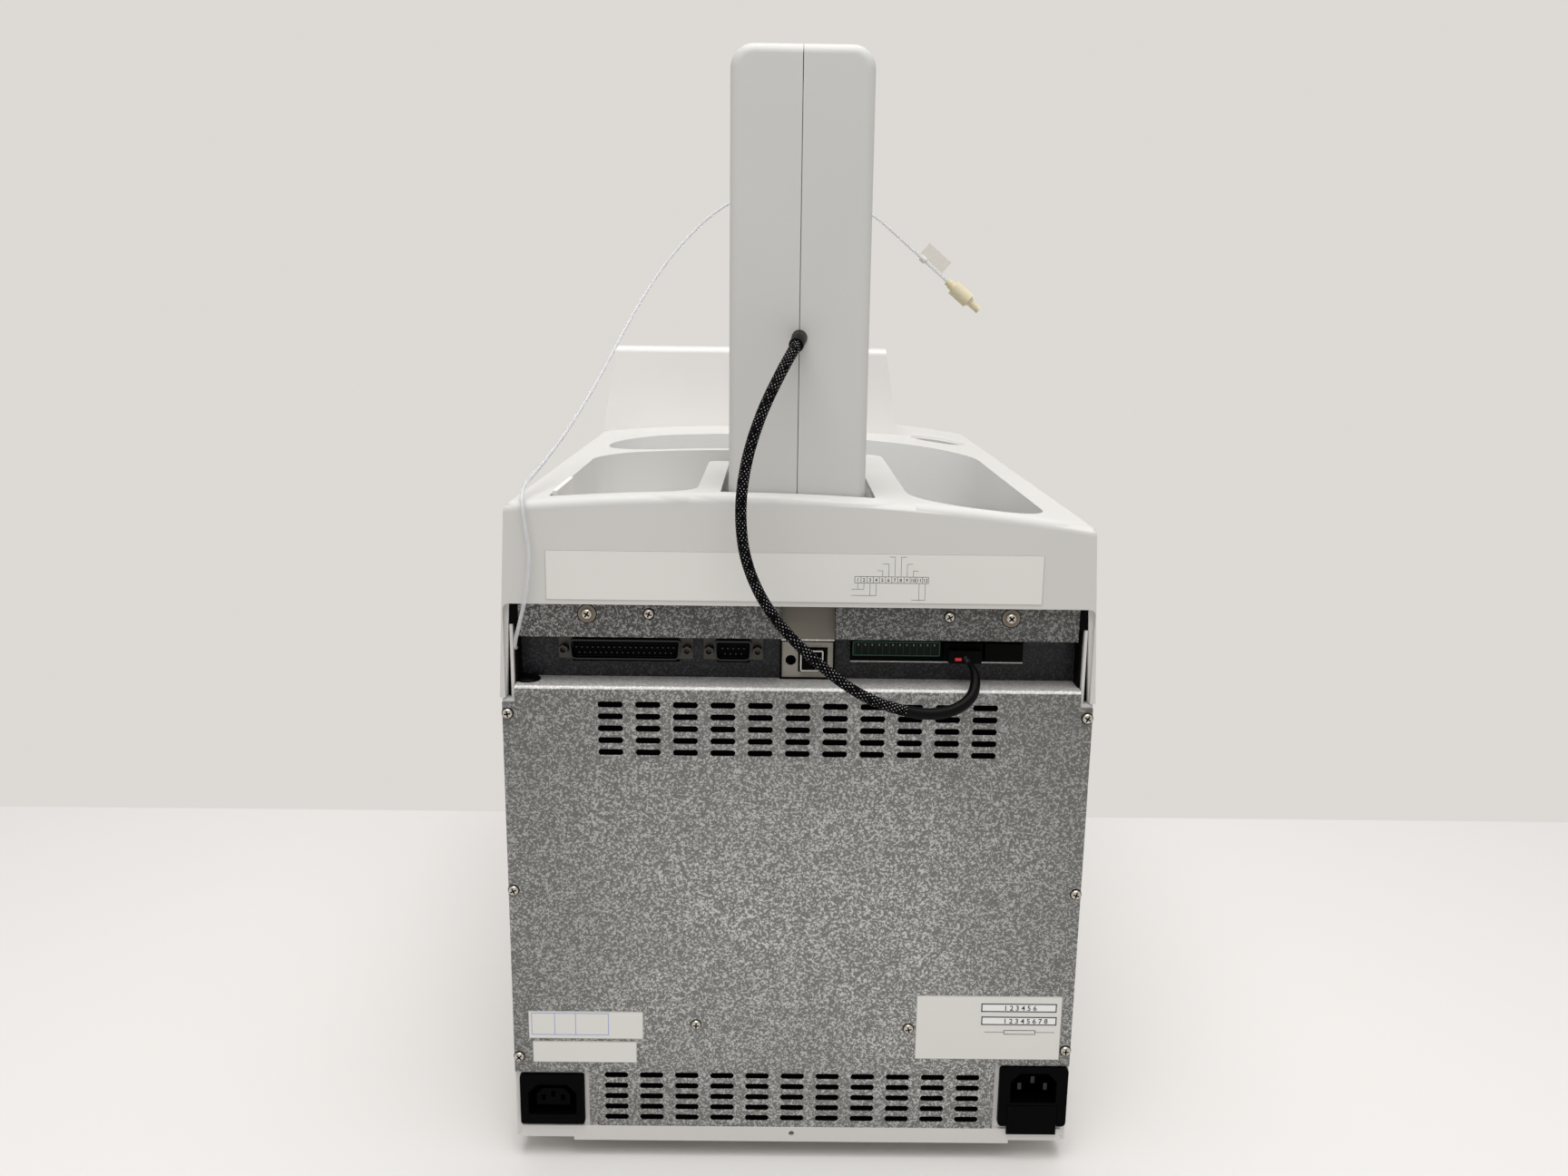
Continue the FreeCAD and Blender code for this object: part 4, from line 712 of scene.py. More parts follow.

# %% [markdown]
# The cut edges of the vent slots lie in the shadow of the sheet, so they are painted near black as
# painted shade. A test on each face finds them: it looks sideways, and it lies in one of the two fields,
# whose size comes from the slots' pitch and count.

# %% Edges of the vent slots
slot_black = Paint("slot_shadow", shade(6, 6, 6), 0.8, Specular_IOR_Level=0.05)
slot_black.bump(slot_black.noise(900.0, 1.0), 0.00003, 0.3)
slot_pitch = (19.05, 6.35)
half_field = 5 * slot_pitch[0] + 9
fields = [(z, z + 4 * slot_pitch[1]) for z in (19.0 + 5.6, 269.0 - 9.45 - 4 * slot_pitch[1])]


def cut_edge_of_a_slot(middle, up):
    x, z = abs(middle.x) * 1000, middle.z * 1000
    return abs(up.y) < 0.3 and x < half_field and any(low - 3 < z < high + 3 for low, high in fields)


print(coat_where(panel, slot_black, cut_edge_of_a_slot), "faces line the vent slots")

# %% [markdown]
# The chassis behind the zinc panel is powder-coated white. Powder coat has a slight orange peel, a soft
# bump about a millimetre wide, and it keeps a gloss that plastic lacks.

# %% Painted chassis
white_paint = Paint("white_paint", shade(219, 217, 213), 0.38, Coat_Weight=0.15)
peel = white_paint.noise(600.0, 1.0)
white_paint.bump(peel, 0.00006, 0.25)
# The carousel deck takes this white as painted light, so it shows pale in the shade under the wells.
painted = ("base_pan", "side_panel_left", "side_panel_right", "front_frame", "carousel_deck")
for node in painted:
    coat(node, white_paint)
print(len(painted), "painted sheets")

# %% [markdown]
# Bare metal parts get one recipe. Fine streaks from a noise that is stretched along the piece vary the
# roughness, so a highlight breaks up as it does on drawn or turned metal, while the colour stays even.

# %% Metals
def brushed(name, colour, roughness, along=(40.0, 40.0, 900.0)):
    paint = Paint(name, colour, roughness, 1.0)
    streaks = paint.noise(6.0, 2.0, paint.stretched(along))
    paint.set("Roughness", roughness - 0.08 + streaks * 0.16)
    paint.bump(streaks, 0.00002, 0.2)
    return paint


plated = brushed("plated_shell", shade(196, 196, 192), 0.28)
flange_metal = brushed("connector_flange", shade(74, 72, 68), 0.4)
black_nickel = brushed("black_nickel", shade(58, 58, 60), 0.2)
screw_metal = brushed("screw_steel", shade(196, 190, 180), 0.26)
ground_steel = brushed("ground_steel", shade(214, 214, 216), 0.14)
aluminium = brushed("plain_aluminium", shade(206, 208, 210), 0.34)
gear_brass = brushed("gear_brass", shade(214, 184, 118), 0.3)
coat("door_pins", ground_steel)
for node in ("spindle", "slide_rods", "slide_screw", "needle", "syringe_plunger", "lift_screw"):
    coat(moulded[node], ground_steel)
for node in ("tower_frame", "needle_arm"):
    coat(node, aluminium)
coat("drive_pinion", gear_brass)
print(len(bpy.data.materials), "finishes so far")

# %% [markdown]
# Black plastic is lifted to grey by its own shine, more than by its colour. The sockets of this object
# look almost ink black, so their colour is very low and the specular level is turned down too.

# %% Dark plastics and rubber
def dark_plastic(name, colour, roughness, grain=1500.0, shine=0.3):
    paint = Paint(name, colour, roughness, Specular_IOR_Level=shine)
    fine = paint.noise(grain, 1.0)
    paint.set("Roughness", roughness - 0.05 + fine * 0.1)
    paint.bump(fine, 0.00003, 0.3)
    return paint


black_plastic = dark_plastic("black_plastic", shade(2, 2, 3), 0.5, shine=0.04)
blade_metal = brushed("blade_metal", shade(56, 55, 52), 0.35)
ink_black = dark_plastic("ink_black", shade(3, 3, 3), 0.7, shine=0.08)
black_gloss = dark_plastic("black_gloss", shade(5, 5, 6), 0.42, 300.0, 0.09)
motor_black = dark_plastic("motor_black", shade(36, 36, 38), 0.5)
foot_rubber = dark_plastic("foot_rubber", shade(30, 30, 30), 0.8)
green_plastic = dark_plastic("green_plastic", shade(30, 74, 54), 0.4)
board_green = dark_plastic("board_green", shade(10, 34, 22), 0.5, 500.0, 0.15)
tray_plastic = dark_plastic("tray_plastic", shade(206, 206, 203), 0.5)
cap_plastic = dark_plastic("cap_plastic", shade(64, 84, 132), 0.4)
key_plastic = dark_plastic("key_plastic", shade(150, 154, 158), 0.5)
for node in ("accessory_outlet", "power_inlet", "fuse_drawer", "switch_case"):
    coat(node, black_plastic)
coat("signal_plug", ink_black)
# Painted shade: the contact blades are darkened for the shade inside the sockets.
coat("contact_pins", blade_metal)
for piece in (moulded["tower_gland"], "power_rocker", cable_boot, cable_shrink):
    coat(piece, black_gloss)
for node in ("lift_motor", "drive_motors"):
    coat(node, motor_black)
coat(moulded["feet"], foot_rubber)
# Painted shade: the boards' green is darkened for the dark inside the instrument.
coat("circuit_boards", board_green)
# Painted light: the vial tray's pale tone lightens it in the shade under the wells.
coat(moulded["vial_tray"], tray_plastic)
coat(moulded["vial_caps"], cap_plastic)
coat("keypad", key_plastic)
print("the blackest socket is %.5f in linear light" % shade(2, 2, 3)[0])

# %% [markdown]
# The small pale pieces share the moulded recipe with a finer grain. The films of the labels are brighter
# than the cover and almost without grain. Clear tubing has thin walls and a bore, so it is mostly
# transmission, with a low roughness and an index near that of fluoroplastic.

# %% Pale plastics, glass and film
vial_plastic = moulded_plastic("vial_plastic", shade(226, 228, 224), 0.35, 900.0)
gear_plastic = moulded_plastic("gear_plastic", shade(232, 229, 214), 0.4, 900.0)
valve_plastic = moulded_plastic("valve_plastic", shade(212, 196, 160), 0.35, 900.0)
ivory_plastic = moulded_plastic("ivory_plastic", shade(222, 212, 180), 0.35, 900.0)
clear_grey = moulded_plastic("clear_grey_plastic", shade(216, 216, 212), 0.4, 900.0)
label_film = moulded_plastic("label_film", shade(234, 232, 227), 0.42, 900.0, 0.00001)
flag_film = moulded_plastic("flag_film", shade(222, 218, 209), 0.4, 900.0)
coat(moulded["sample_vials"], vial_plastic)
coat("drive_gear", gear_plastic)
# Painted light: the turntable takes the pale gear plastic, so it shows pale in the shade under the wells.
coat(moulded["turntable"], gear_plastic)
coat(moulded["valve_stator"], valve_plastic)
coat(moulded["valve_rotor"], valve_plastic)
coat(moulded["union_fitting"], ivory_plastic)
coat(moulded["wash_cup"], clear_grey)
coat("label_plates", label_film)
coat("tube_flag", flag_film)
display_glass = dark_plastic("display_glass", shade(44, 52, 48), 0.08, 200.0)
coat("display_window", display_glass)
clear_glass = Paint("clear_glass", shade(236, 240, 240), 0.04, Transmission_Weight=0.9, IOR=1.47)
coat(moulded["syringe_barrel"], clear_glass)
clear_tube = Paint("clear_tube", shade(236, 237, 239), 0.32, Transmission_Weight=0.5, IOR=1.3)
coat(sample_tubing, clear_tube)
print("clear pieces:", clear_glass.material.name, "and", clear_tube.material.name)

# %% [markdown]
# The braid is woven from flat bundles that cross at about 45 degrees. The cord's own UV map runs along
# and around it, so two sets of diagonal waves on it give the over-and-under of the weave, at a real
# bundle width of just under a millimetre.

# %% Braided sleeve
def wave(value):
    return braid.node("ShaderNodeMath", {"operation": "SINE"}, {0: value})


braid = Paint("black_braid", shade(4, 4, 5), 0.6, Specular_IOR_Level=0.05)
cord_uv = braid.node("ShaderNodeUVMap", {"uv_map": signal_cable.data.uv_layers[0].name})
along = braid.node("ShaderNodeSeparateXYZ", inputs={0: cord_uv}, output=0)
around = Link(braid, along.socket.node.outputs[1])
turns = run_length(cable_line) / 0.0021
one_way = wave((along * turns + around * 9) * math.tau)
other_way = wave((along * turns - around * 9) * math.tau)
weave = braid.node("ShaderNodeMath", {"operation": "MINIMUM"}, {0: one_way, 1: other_way})
worn = braid.noise(420.0, 1.0)
crossing = weave.above(0.66, 0.2) * worn.above(0.46, 0.16)
braid.set("Base Color", braid.mix(crossing, shade(2, 2, 3), shade(196, 196, 198)))
braid.set("Roughness", 0.6 - crossing * 0.2)
braid.bump(weave, 0.0002, 0.5)
coat(signal_cable, braid)
print("%.0f crossings along the sleeve" % turns)

# %% [markdown]
# The film labels on the rear carry printed lines. Each line is a bar of ink, far thinner than a hair,
# which stands on the film's face. Lines, outlines and digits all go into one shape, so each label's ink
# becomes one piece.

# %% Bars of ink
film_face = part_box("label_plates")[1].y
ink_height = 0.00004


def bar(shape, x, z):
    """One straight line of ink, from x and z ranges in millimetres."""
    made = bmesh.ops.create_cube(shape, size=1)["verts"]
    size = (abs(x[1] - x[0]) / 1000, ink_height, abs(z[1] - z[0]) / 1000)
    bmesh.ops.scale(shape, verts=made, vec=size)
    middle = ((x[0] + x[1]) / 2000, film_face + ink_height / 2, (z[0] + z[1]) / 2000)
    bmesh.ops.translate(shape, verts=made, vec=middle)


def line_across(shape, x, z, width=0.22):
    bar(shape, x, (z - width / 2, z + width / 2))


def line_up(shape, x, z, width=0.22):
    bar(shape, (x - width / 2, x + width / 2), z)


def outline(shape, x, z, width=0.22):
    for height in z:
        line_across(shape, (x[0] + width / 2, x[1] - width / 2), height, width)
    for side in x:
        line_up(shape, side, z, width)


print("ink stands %.2f mm high" % (ink_height * 1000))

# %% [markdown]
# Digits come from a font curve, laid flat on the film and turned to face the reader behind the instrument.
# They are plain numbers and no words. The second helper turns a finished shape into a piece: it gives the
# mesh an object, the body that it rides on and its finish.

# %% Digits and finished pieces
capital_share = 0.72
ink_spread = 0.025


def number(shape, text, x, z, height):
    """Plain digits whose left end is at x and whose foot is at z, all in millimetres."""
    words = bpy.data.curves.new("digits", "FONT")
    words.body = text
    words.size = height / 1000 / capital_share
    words.resolution_u = 3
    words.offset = height / 1000 * ink_spread
    flat = as_mesh(words, "digits")
    stand = Matrix(((-1, 0, 0, x / 1000), (0, 0, 1, film_face + ink_height / 2),
                    (0, 1, 0, z / 1000), (0, 0, 0, 1)))
    flat.data.transform(stand)
    shape.from_mesh(flat.data)
    bpy.data.objects.remove(flat)


def finished(shape, name, body, paint, slot=None):
    """Makes a piece from a shape and gives it its body and its finish."""
    mesh = bpy.data.meshes.new(name)
    shape.to_mesh(mesh)
    shape.free()
    piece = bpy.data.objects.new(name, mesh)
    bpy.context.collection.objects.link(piece)
    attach(piece, body)
    coat(piece, paint)
    return piece


dark_ink = Paint("dark_ink", shade(56, 56, 58), 0.6)
blue_ink = Paint("blue_ink", shade(118, 152, 218), 0.6)
white_ink = Paint("white_ink", shade(246, 246, 244), 0.5)
print(len((dark_ink, blue_ink, white_ink)), "inks")

# %% [markdown]
# The strip under the cover's rim numbers the twelve ways of the terminal block. Each of the thin leads
# runs from a numbered box to where a name would be. Digits of two figures start a little further left, so
# that they stay in the middle of their box.

# %% Numbers of the ways
strip = bmesh.new()
box_left = -27.2
box_pitch = 3.05
box_z = (324.1, 327.3)
outline(strip, (box_left, box_left - 12 * box_pitch), box_z)
for way in range(1, 12):
    line_up(strip, box_left - way * box_pitch, box_z)
for way in range(1, 13):
    digits = str(way)
    number(strip, digits, box_left - (way - 0.72 + 0.2 * (1 - len(digits))) * box_pitch, 324.8, 1.75)


def lead(ways, height, reach):
    """Lines from the boxes of some ways to one height, and on sideways to where a name would be."""
    edge = box_z[1] if height > box_z[1] else box_z[0]
    places = [box_left - (way - 0.5) * box_pitch for way in ways]
    for place in places:
        line_up(strip, place, sorted((edge, height)), 0.18)
    line_across(strip, (places[-1], reach), height, 0.18)


for ways, height, reach in (((5,), 330.4, -38.2), ((6,), 333.8, -41.0), ((7,), 337.3, -44.4),
                            ((8,), 337.3, -52.6), ((9,), 333.8, -55.8), ((10,), 330.4, -58.6),
                            ((1, 2), 320.9, -25.6), ((3, 4), 317.7, -25.6), ((11, 12), 315.6, -55.6)):
    lead(ways, height, reach)
finished(strip, "terminal_numbers", "chassis", dark_ink)
print("each numbered box is %.2f mm wide" % box_pitch)

# %% [markdown]
# The label by the mains inlet has two white fields with a number in each, and a small box with a line on
# either side. The label by the outlet is a row of three empty cells in blue.

# %% Rating label and empty cells
rating_fill = bmesh.new()
rating_lines = bmesh.new()
for x, z in (((-101.0, -140.9), (90.0, 94.4)), ((-101.3, -141.2), (82.3, 86.7))):
    bar(rating_fill, x, z)
    outline(rating_lines, x, z, 0.6)
for x, z, digits in ((-112.8, 90.7, "1 2 3 4 5 6"), (-112.8, 83.0, "1 2 3 4 5 6 7 8")):
    number(rating_lines, digits, x, z, 2.9)
outline(rating_lines, (-113.5, -130.2), (76.6, 78.9), 0.3)
line_across(rating_lines, (-103.0, -113.5), 77.8, 0.2)
line_across(rating_lines, (-130.2, -140.6), 77.8, 0.2)
bmesh.ops.translate(rating_lines, verts=rating_lines.verts, vec=(0, ink_height, 0))
finished(rating_fill, "rating_fields", "chassis", white_ink)
finished(rating_lines, "rating_lines", "chassis", dark_ink)

cells = bmesh.new()
outline(cells, (140.1, 99.0), (74.0, 86.6), 0.3)
for x in (127.8, 116.6):
    line_up(cells, x, (74.0, 86.6), 0.3)
finished(cells, "label_cells", "chassis", blue_ink)
print("film labels stand at y = %.1f mm" % (film_face * 1000))

# %% [markdown]
# The CAD model groups like fasteners in one node. Their places are found again by walking from corner to
# corner along the edges: what can be reached is one solid, and its box tells where it stands.

# %% Separate solids of one node
def islands(node):
    """The boxes of the separate solids in one CAD node."""
    shape = bmesh.new()
    shape.from_mesh(nodes[node].data)
    bmesh.ops.remove_doubles(shape, verts=shape.verts, dist=0.000002)
    left = set(shape.verts)
    found = []
    while left:
        group = {left.pop()}
        edge = list(group)
        while edge:
            near = {e.other_vert(v) for v in edge for e in v.link_edges} & left
            left -= near
            group |= near
            edge = list(near)
        low = Vector([min(v.co[i] for v in group) for i in range(3)])
        high = Vector([max(v.co[i] for v in group) for i in range(3)])
        found.append((low, high))
    shape.free()
    return found


screw_places = sorted(islands("rear_screws"), key=lambda place: (place[0].x, place[0].z))
print(len(screw_places), "screws in one node")

# %% [markdown]
# Pan-head screws hold the rear panel. A head is a shallow dome with a rounded rim, which a spun profile
# gives, and a cross recess is sunk in it by two crossed bars.

# %% Screw head and its cross
head_profile = ((0.0, 1.0), (0.35, 0.99), (0.62, 0.93), (0.82, 0.78), (0.95, 0.52), (1.0, 0.25),
                (0.985, 0.0))


def pan_head(radius, height):
    """A domed head on its foot, with its face towards +Y and its foot at y = 0."""
    shape = bmesh.new()
    corners = [shape.verts.new((r * radius, y * height, 0)) for r, y in head_profile]
    edges = [shape.edges.new(pair) for pair in zip(corners, corners[1:])]
    bmesh.ops.spin(shape, geom=corners + edges, cent=(0, 0, 0), axis=(0, 1, 0), angle=math.tau, steps=28,
                   use_merge=True)
    bmesh.ops.remove_doubles(shape, verts=shape.verts, dist=radius / 500)
    rim = [edge for edge in shape.edges if edge.is_boundary]
    bmesh.ops.holes_fill(shape, edges=rim, sides=0)
    bmesh.ops.recalc_face_normals(shape, faces=shape.faces)
    mesh = bpy.data.meshes.new("head")
    shape.to_mesh(mesh)
    shape.free()
    return mesh


def cross_cutter(radius, height):
    shape = bmesh.new()
    for turn_by in (0, math.pi / 2):
        made = bmesh.ops.create_cube(shape, size=1)["verts"]
        bmesh.ops.scale(shape, verts=made, vec=(radius * 1.25, height * 0.9, radius * 0.3))
        bmesh.ops.translate(shape, verts=made, vec=(0, height * 0.8, 0))
        bmesh.ops.rotate(shape, verts=made, cent=(0, 0, 0), matrix=Matrix.Rotation(turn_by, 3, "Y"))
    mesh = bpy.data.meshes.new("cross")
    shape.to_mesh(mesh)
    shape.free()
    return mesh


print("a head's profile has", len(head_profile), "points")

# %% [markdown]
# Heads are made at the origin and stand where the CAD model has its plain ones, each turned a little
# differently, as a hand would leave them. Two screws of the upper strip have a wide seat below the head.
# A dark ring round each head is a painted shadow under its rim, and two dark crossed bars in its recess
# are painted shade.

# %% Rear screws
screw_head_radius = 0.00275
screw_head_height = 0.0018
turn_from_screw_to_screw = 1.3
screws = bmesh.new()
seats = bmesh.new()
rings = bmesh.new()


def disc_at(shape, radius, x, y, z, thick=0.0003):
    disc = bmesh.ops.create_cone(shape, cap_ends=True, segments=32, radius1=radius,
                                 radius2=radius - 0.0001, depth=thick)["verts"]
    bmesh.ops.rotate(shape, verts=disc, cent=(0, 0, 0), matrix=Matrix.Rotation(-math.pi / 2, 3, "X"))
    bmesh.ops.translate(shape, verts=disc, vec=(x, y + thick / 2, z))


for count, (low, high) in enumerate(screw_places):
    seat_radius = (high.x - low.x) / 2
    head_radius = min(seat_radius, screw_head_radius)
    foot = low.y + (0.0003 if seat_radius > head_radius else 0)
    head = cut(pan_head(head_radius, screw_head_height), cross_cutter(head_radius, screw_head_height))
    head_turn = count * turn_from_screw_to_screw
    x, z = (low.x + high.x) / 2, (low.z + high.z) / 2
    head.transform(Matrix.Rotation(head_turn, 4, "Y"))
    head.transform(Matrix.Translation((x, foot, z)))
    screws.from_mesh(head)
    # Painted shade: two dark crossed bars in the recess, and a dark ring below.
    for turn_by in (0, math.pi / 2):
        arm = bmesh.ops.create_cube(rings, size=1)["verts"]
        bmesh.ops.scale(rings, verts=arm, vec=(head_radius * 1.2, 0.0002, head_radius * 0.28))
        arm_turn = Matrix.Rotation(head_turn + turn_by, 3, "Y")
        bmesh.ops.rotate(rings, verts=arm, cent=(0, 0, 0), matrix=arm_turn)
        bmesh.ops.translate(rings, verts=arm, vec=(x, foot + 0.0008, z))
    if seat_radius > head_radius:
        disc_at(seats, seat_radius + 0.0004, x, low.y, z)
        disc_at(rings, seat_radius + 0.0008, x, low.y, z, 0.0002)
    else:
        disc_at(rings, head_radius + 0.0004, x, low.y, z, 0.0002)
for shape in (screws, seats):
    for face in shape.faces:
        face.smooth = True
    for edge in shape.edges:
        edge.smooth = edge.calc_face_angle(0) < math.radians(35)
seat_metal = moulded_plastic("seat_metal", shade(122, 112, 98), 0.45, 700.0)
rear_screws = finished(screws, "rear_pan_heads", "chassis", screw_metal, "screw_steel")
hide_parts("rear_screws")
finished(seats, "screw_seats", "chassis", seat_metal, "screw_steel")
finished(rings, "screw_shadows", "chassis", ink_black, "black_plastic")
print(count + 1, "screw heads")

# %% [markdown]
# The two D-shaped connectors have a metal flange on the sheet, a dark metal shell with rounded corners
# that is wider above than below, rows of pins inside it and a hexagonal post at each end. The flanges,
# posts, shells and pins are darkened as painted shade, for the shade under the strip. The shell starts
# as a box: two of its edges are drawn in for the taper, its four long edges are bevelled, and its front
# face is inset and pushed in, which leaves a thin rim with a dark floor behind it.

# %% Shell of a D-shaped connector
flanges = bmesh.new()
shells = bmesh.new()
cores = bmesh.new()
pins = bmesh.new()
d_middle = 284.2
plate = 19.0
shell_length = 0.006
shell_height = 0.0104
shell_taper = 0.0012


def d_shell(x, half):
    body = bmesh.ops.create_cube(shells, size=1)["verts"]
    bmesh.ops.scale(shells, verts=body, vec=(2 * half / 1000, shell_length, shell_height))
    bmesh.ops.translate(shells, verts=body, vec=(x / 1000, rear - 0.016, d_middle / 1000 + 0.0005))
    for vert in body:
        if vert.co.z < d_middle / 1000:
            vert.co.x -= math.copysign(shell_taper, vert.co.x - x / 1000)
    long_edges = [edge for edge in {e for v in body for e in v.link_edges}
                  if abs(edge.verts[0].co.y - edge.verts[1].co.y) > 0.003]
    bmesh.ops.bevel(shells, geom=long_edges, offset=0.0021, offset_type="OFFSET", segments=5,
                    profile=0.5, affect="EDGES", material=-1)
    front = max((face for face in shells.faces if abs(face.calc_center_median().x - x / 1000) < 0.001),
                key=lambda face: face.calc_center_median().y)
    bmesh.ops.inset_individual(shells, faces=[front], thickness=0.0007, use_even_offset=True)
    pushed = bmesh.ops.extrude_face_region(shells, geom=[front])["geom"]
    inner = [item for item in pushed if isinstance(item, bmesh.types.BMVert)]
    bmesh.ops.translate(shells, verts=inner, vec=(0, -0.0042, 0))
    bmesh.ops.delete(shells, geom=[front], context="FACES_ONLY")
    block(cores, (x - half + 1.4, x + half - 1.4), (plate - 1.9, plate - 1.7),
          (d_middle - 3.9, d_middle + 4.9))


print("a shell stands %.1f mm high" % (1000 * shell_height))

# %% [markdown]
# The pins stand in two rows, at the standard pitch of 2.77 mm from pin to pin and 2.84 mm from row to row,
# and the lower row has one pin less. Each pin is a slim six-sided cone.

# %% Rows of pins
pin_pitch = 2.77
row_from_middle = 1.42
connectors = ((89.0, 63.5, 28.7, (19, 18)), (33.5, 25.0, 9.9, (5, 4)))


def pin_row(x, count, height):
    for k in range(count):
        pin = bmesh.ops.create_cone(pins, cap_ends=True, segments=6, radius1=0.00042, radius2=0.00034,
                                    depth=0.0026)["verts"]
        bmesh.ops.rotate(pins, verts=pin, cent=(0, 0, 0), matrix=Matrix.Rotation(-math.pi / 2, 3, "X"))
        place = (x + (k - (count - 1) / 2) * pin_pitch) / 1000
        bmesh.ops.translate(pins, verts=pin, vec=(place, rear - 0.0159, height / 1000))


for x, span, half, rows in connectors:
    block(flanges, (x - span / 2 - 3.0, x + span / 2 + 3.0), (plate - 0.9, plate - 0.01),
          (d_middle - 5.6, d_middle + 6.0), 0.25)
    d_shell(x, half)
    pin_row(x, rows[0], d_middle + row_from_middle)
    pin_row(x, rows[1], d_middle - row_from_middle)
print(len(pins.verts) // 12, "pins")

# %% [markdown]
# A hexagonal post is a six-sided cone primitive with its front face inset and pushed in for the threaded
# hole. One stands at each end of each connector, half the screws' distance from its middle.

# %% Hexagonal posts
posts = bmesh.new()


def front_face(shape, verts):
    """Of a group of vertices, the face that looks out of the rear panel."""
    faces = {face for vert in verts for face in vert.link_faces}
    return max(faces, key=lambda face: face.calc_center_median().y)


for x, span, half, rows in connectors:
    for side in (-1, 1):
        post = bmesh.ops.create_cone(posts, cap_ends=True, segments=6, radius1=0.0027, radius2=0.0026,
                                     depth=0.0048)["verts"]
        bmesh.ops.rotate(posts, verts=post, cent=(0, 0, 0), matrix=Matrix.Rotation(-math.pi / 2, 3, "X"))
        bmesh.ops.translate(posts, verts=post,
                            vec=((x + side * span / 2) / 1000, rear - 0.0157, d_middle / 1000))
        front = front_face(posts, post)
        bmesh.ops.inset_individual(posts, faces=[front], thickness=0.0009)
        pushed = bmesh.ops.extrude_face_region(posts, geom=[front])["geom"]
        inner = [item for item in pushed if isinstance(item, bmesh.types.BMVert)]
        bmesh.ops.translate(posts, verts=inner, vec=(0, -0.003, 0))
        bmesh.ops.delete(posts, geom=[front], context="FACES_ONLY")
print(2 * len(connectors), "posts")

# %% [markdown]
# The socket of the card beside them is a can of bent sheet in a dark opening, with a tongue in it; the
# dark of the opening is painted shade. The card's bracket has a dark gap round it, a painted shade drawn
# by thin dark bars that stand on the sheet, and a painted shadow line lies under its upper plate.

# %% Card socket
can = bmesh.new()
usb_x = (-12.6, -1.4)
usb_z = (274.2, 284.6)
block(cores, (-15.2, 0.0), (17.3, 17.5), (273.0, 286.0))
for x in (8.9, -18.5):
    block(cores, (x - 0.5, x + 0.5), (16.6, 18.2), (269.3, 291.4))
block(cores, (-19.0, 9.4), (16.6, 18.2), (269.1, 270.0))
block(cores, (-18.4, 8.8), (17.3, 17.5), (288.8, 289.9))
for x in usb_x:
    block(can, (x - 0.35, x + 0.35), (14.6, 17.3), usb_z, 0.1)
for z in usb_z:
    block(can, usb_x, (14.6, 17.3), (z - 0.35, z + 0.35), 0.1)
block(cores, (-9.6, -4.4), (15.2, 17.3), (277.2, 281.6), 0.2)
connector_metals = (
    (flanges, "connector_flanges", flange_metal),
    (shells, "connector_rims", black_nickel),
    (posts, "connector_posts", flange_metal),
    (can, "card_socket_can", plated),
)
for shape, name, paint in connector_metals:
    bmesh.ops.recalc_face_normals(shape, faces=shape.faces)
    piece = finished(shape, name, "chassis", paint, slots["connector_shells"])
    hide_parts("connector_shells")
pin_metal = brushed("pin_metal", shade(78, 78, 80), 0.35)
finished(pins, "connector_pins", "chassis", pin_metal, slots["contact_pins"])
print("the card's socket is %.1f mm wide" % (usb_x[1] - usb_x[0]))

# %% [markdown]
# The terminal block is a green moulding deep in the shadow of the strip. Only its outline and the tops of
# its twelve clamp screws catch light, so the body is painted almost black as painted shade, and the two
# features are pieces of their own.

# %% Terminal block
block_x = (-72.3, -28.0)
block_z = (283.6, 290.7)
body = bmesh.new()
block(body, block_x, (12.4, 28), block_z, 0.3)
rim = bmesh.new()
for x in block_x:
    block(rim, (x - 0.3, x + 0.3), (12.0, 12.6), block_z, 0.1)
for z in block_z:
    block(rim, block_x, (12.0, 12.6), (z - 0.3, z + 0.3), 0.1)
clamps = bmesh.new()
way_pitch = (block_x[1] - block_x[0] - 1.8) / 12
for way in range(12):
    x = block_x[0] + 0.9 + way_pitch * (way + 0.5)
    block(clamps, (x - 0.36, x + 0.36), (12.1, 12.5), (288.6, 289.7), 0.1)
    block(rim, (x + way_pitch / 2 - 0.08, x + way_pitch / 2 + 0.08), (12.2, 12.5), (283.8, 290.5))
green_body = dark_plastic("green_body", shade(7, 14, 11), 0.5, shine=0.15)
green_edge = dark_plastic("green_edge", shade(30, 74, 54), 0.4)
clamp_steel = brushed("clamp_steel", shade(104, 116, 110), 0.35)
block_body = finished(body, "terminal_block_body", "chassis", green_body, slots["terminal_header"])
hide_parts("terminal_header")
finished(rim, "terminal_block_rim", "chassis", green_edge, slots["terminal_header"])
finished(clamps, "terminal_clamps", "chassis", clamp_steel, slots["contact_pins"])
print("its twelve ways are %.2f mm apart" % way_pitch)

# %% [markdown]
# The two drive connectors beside it are plain dark openings, and the lower edge of the slot that all of
# them stand in is a bright line of cut sheet, a painted highlight, as is the lower edge of the card's
# upper plate. The plug's small latch is the only red on the object.

# %% Drive connectors, slot edge and latch
drive_openings = ((-94.4, -74.9), (-115.3, -95.8))
for x in drive_openings:
    block(cores, x, (13.2, 28), (280.6, 290.2), 0.3)
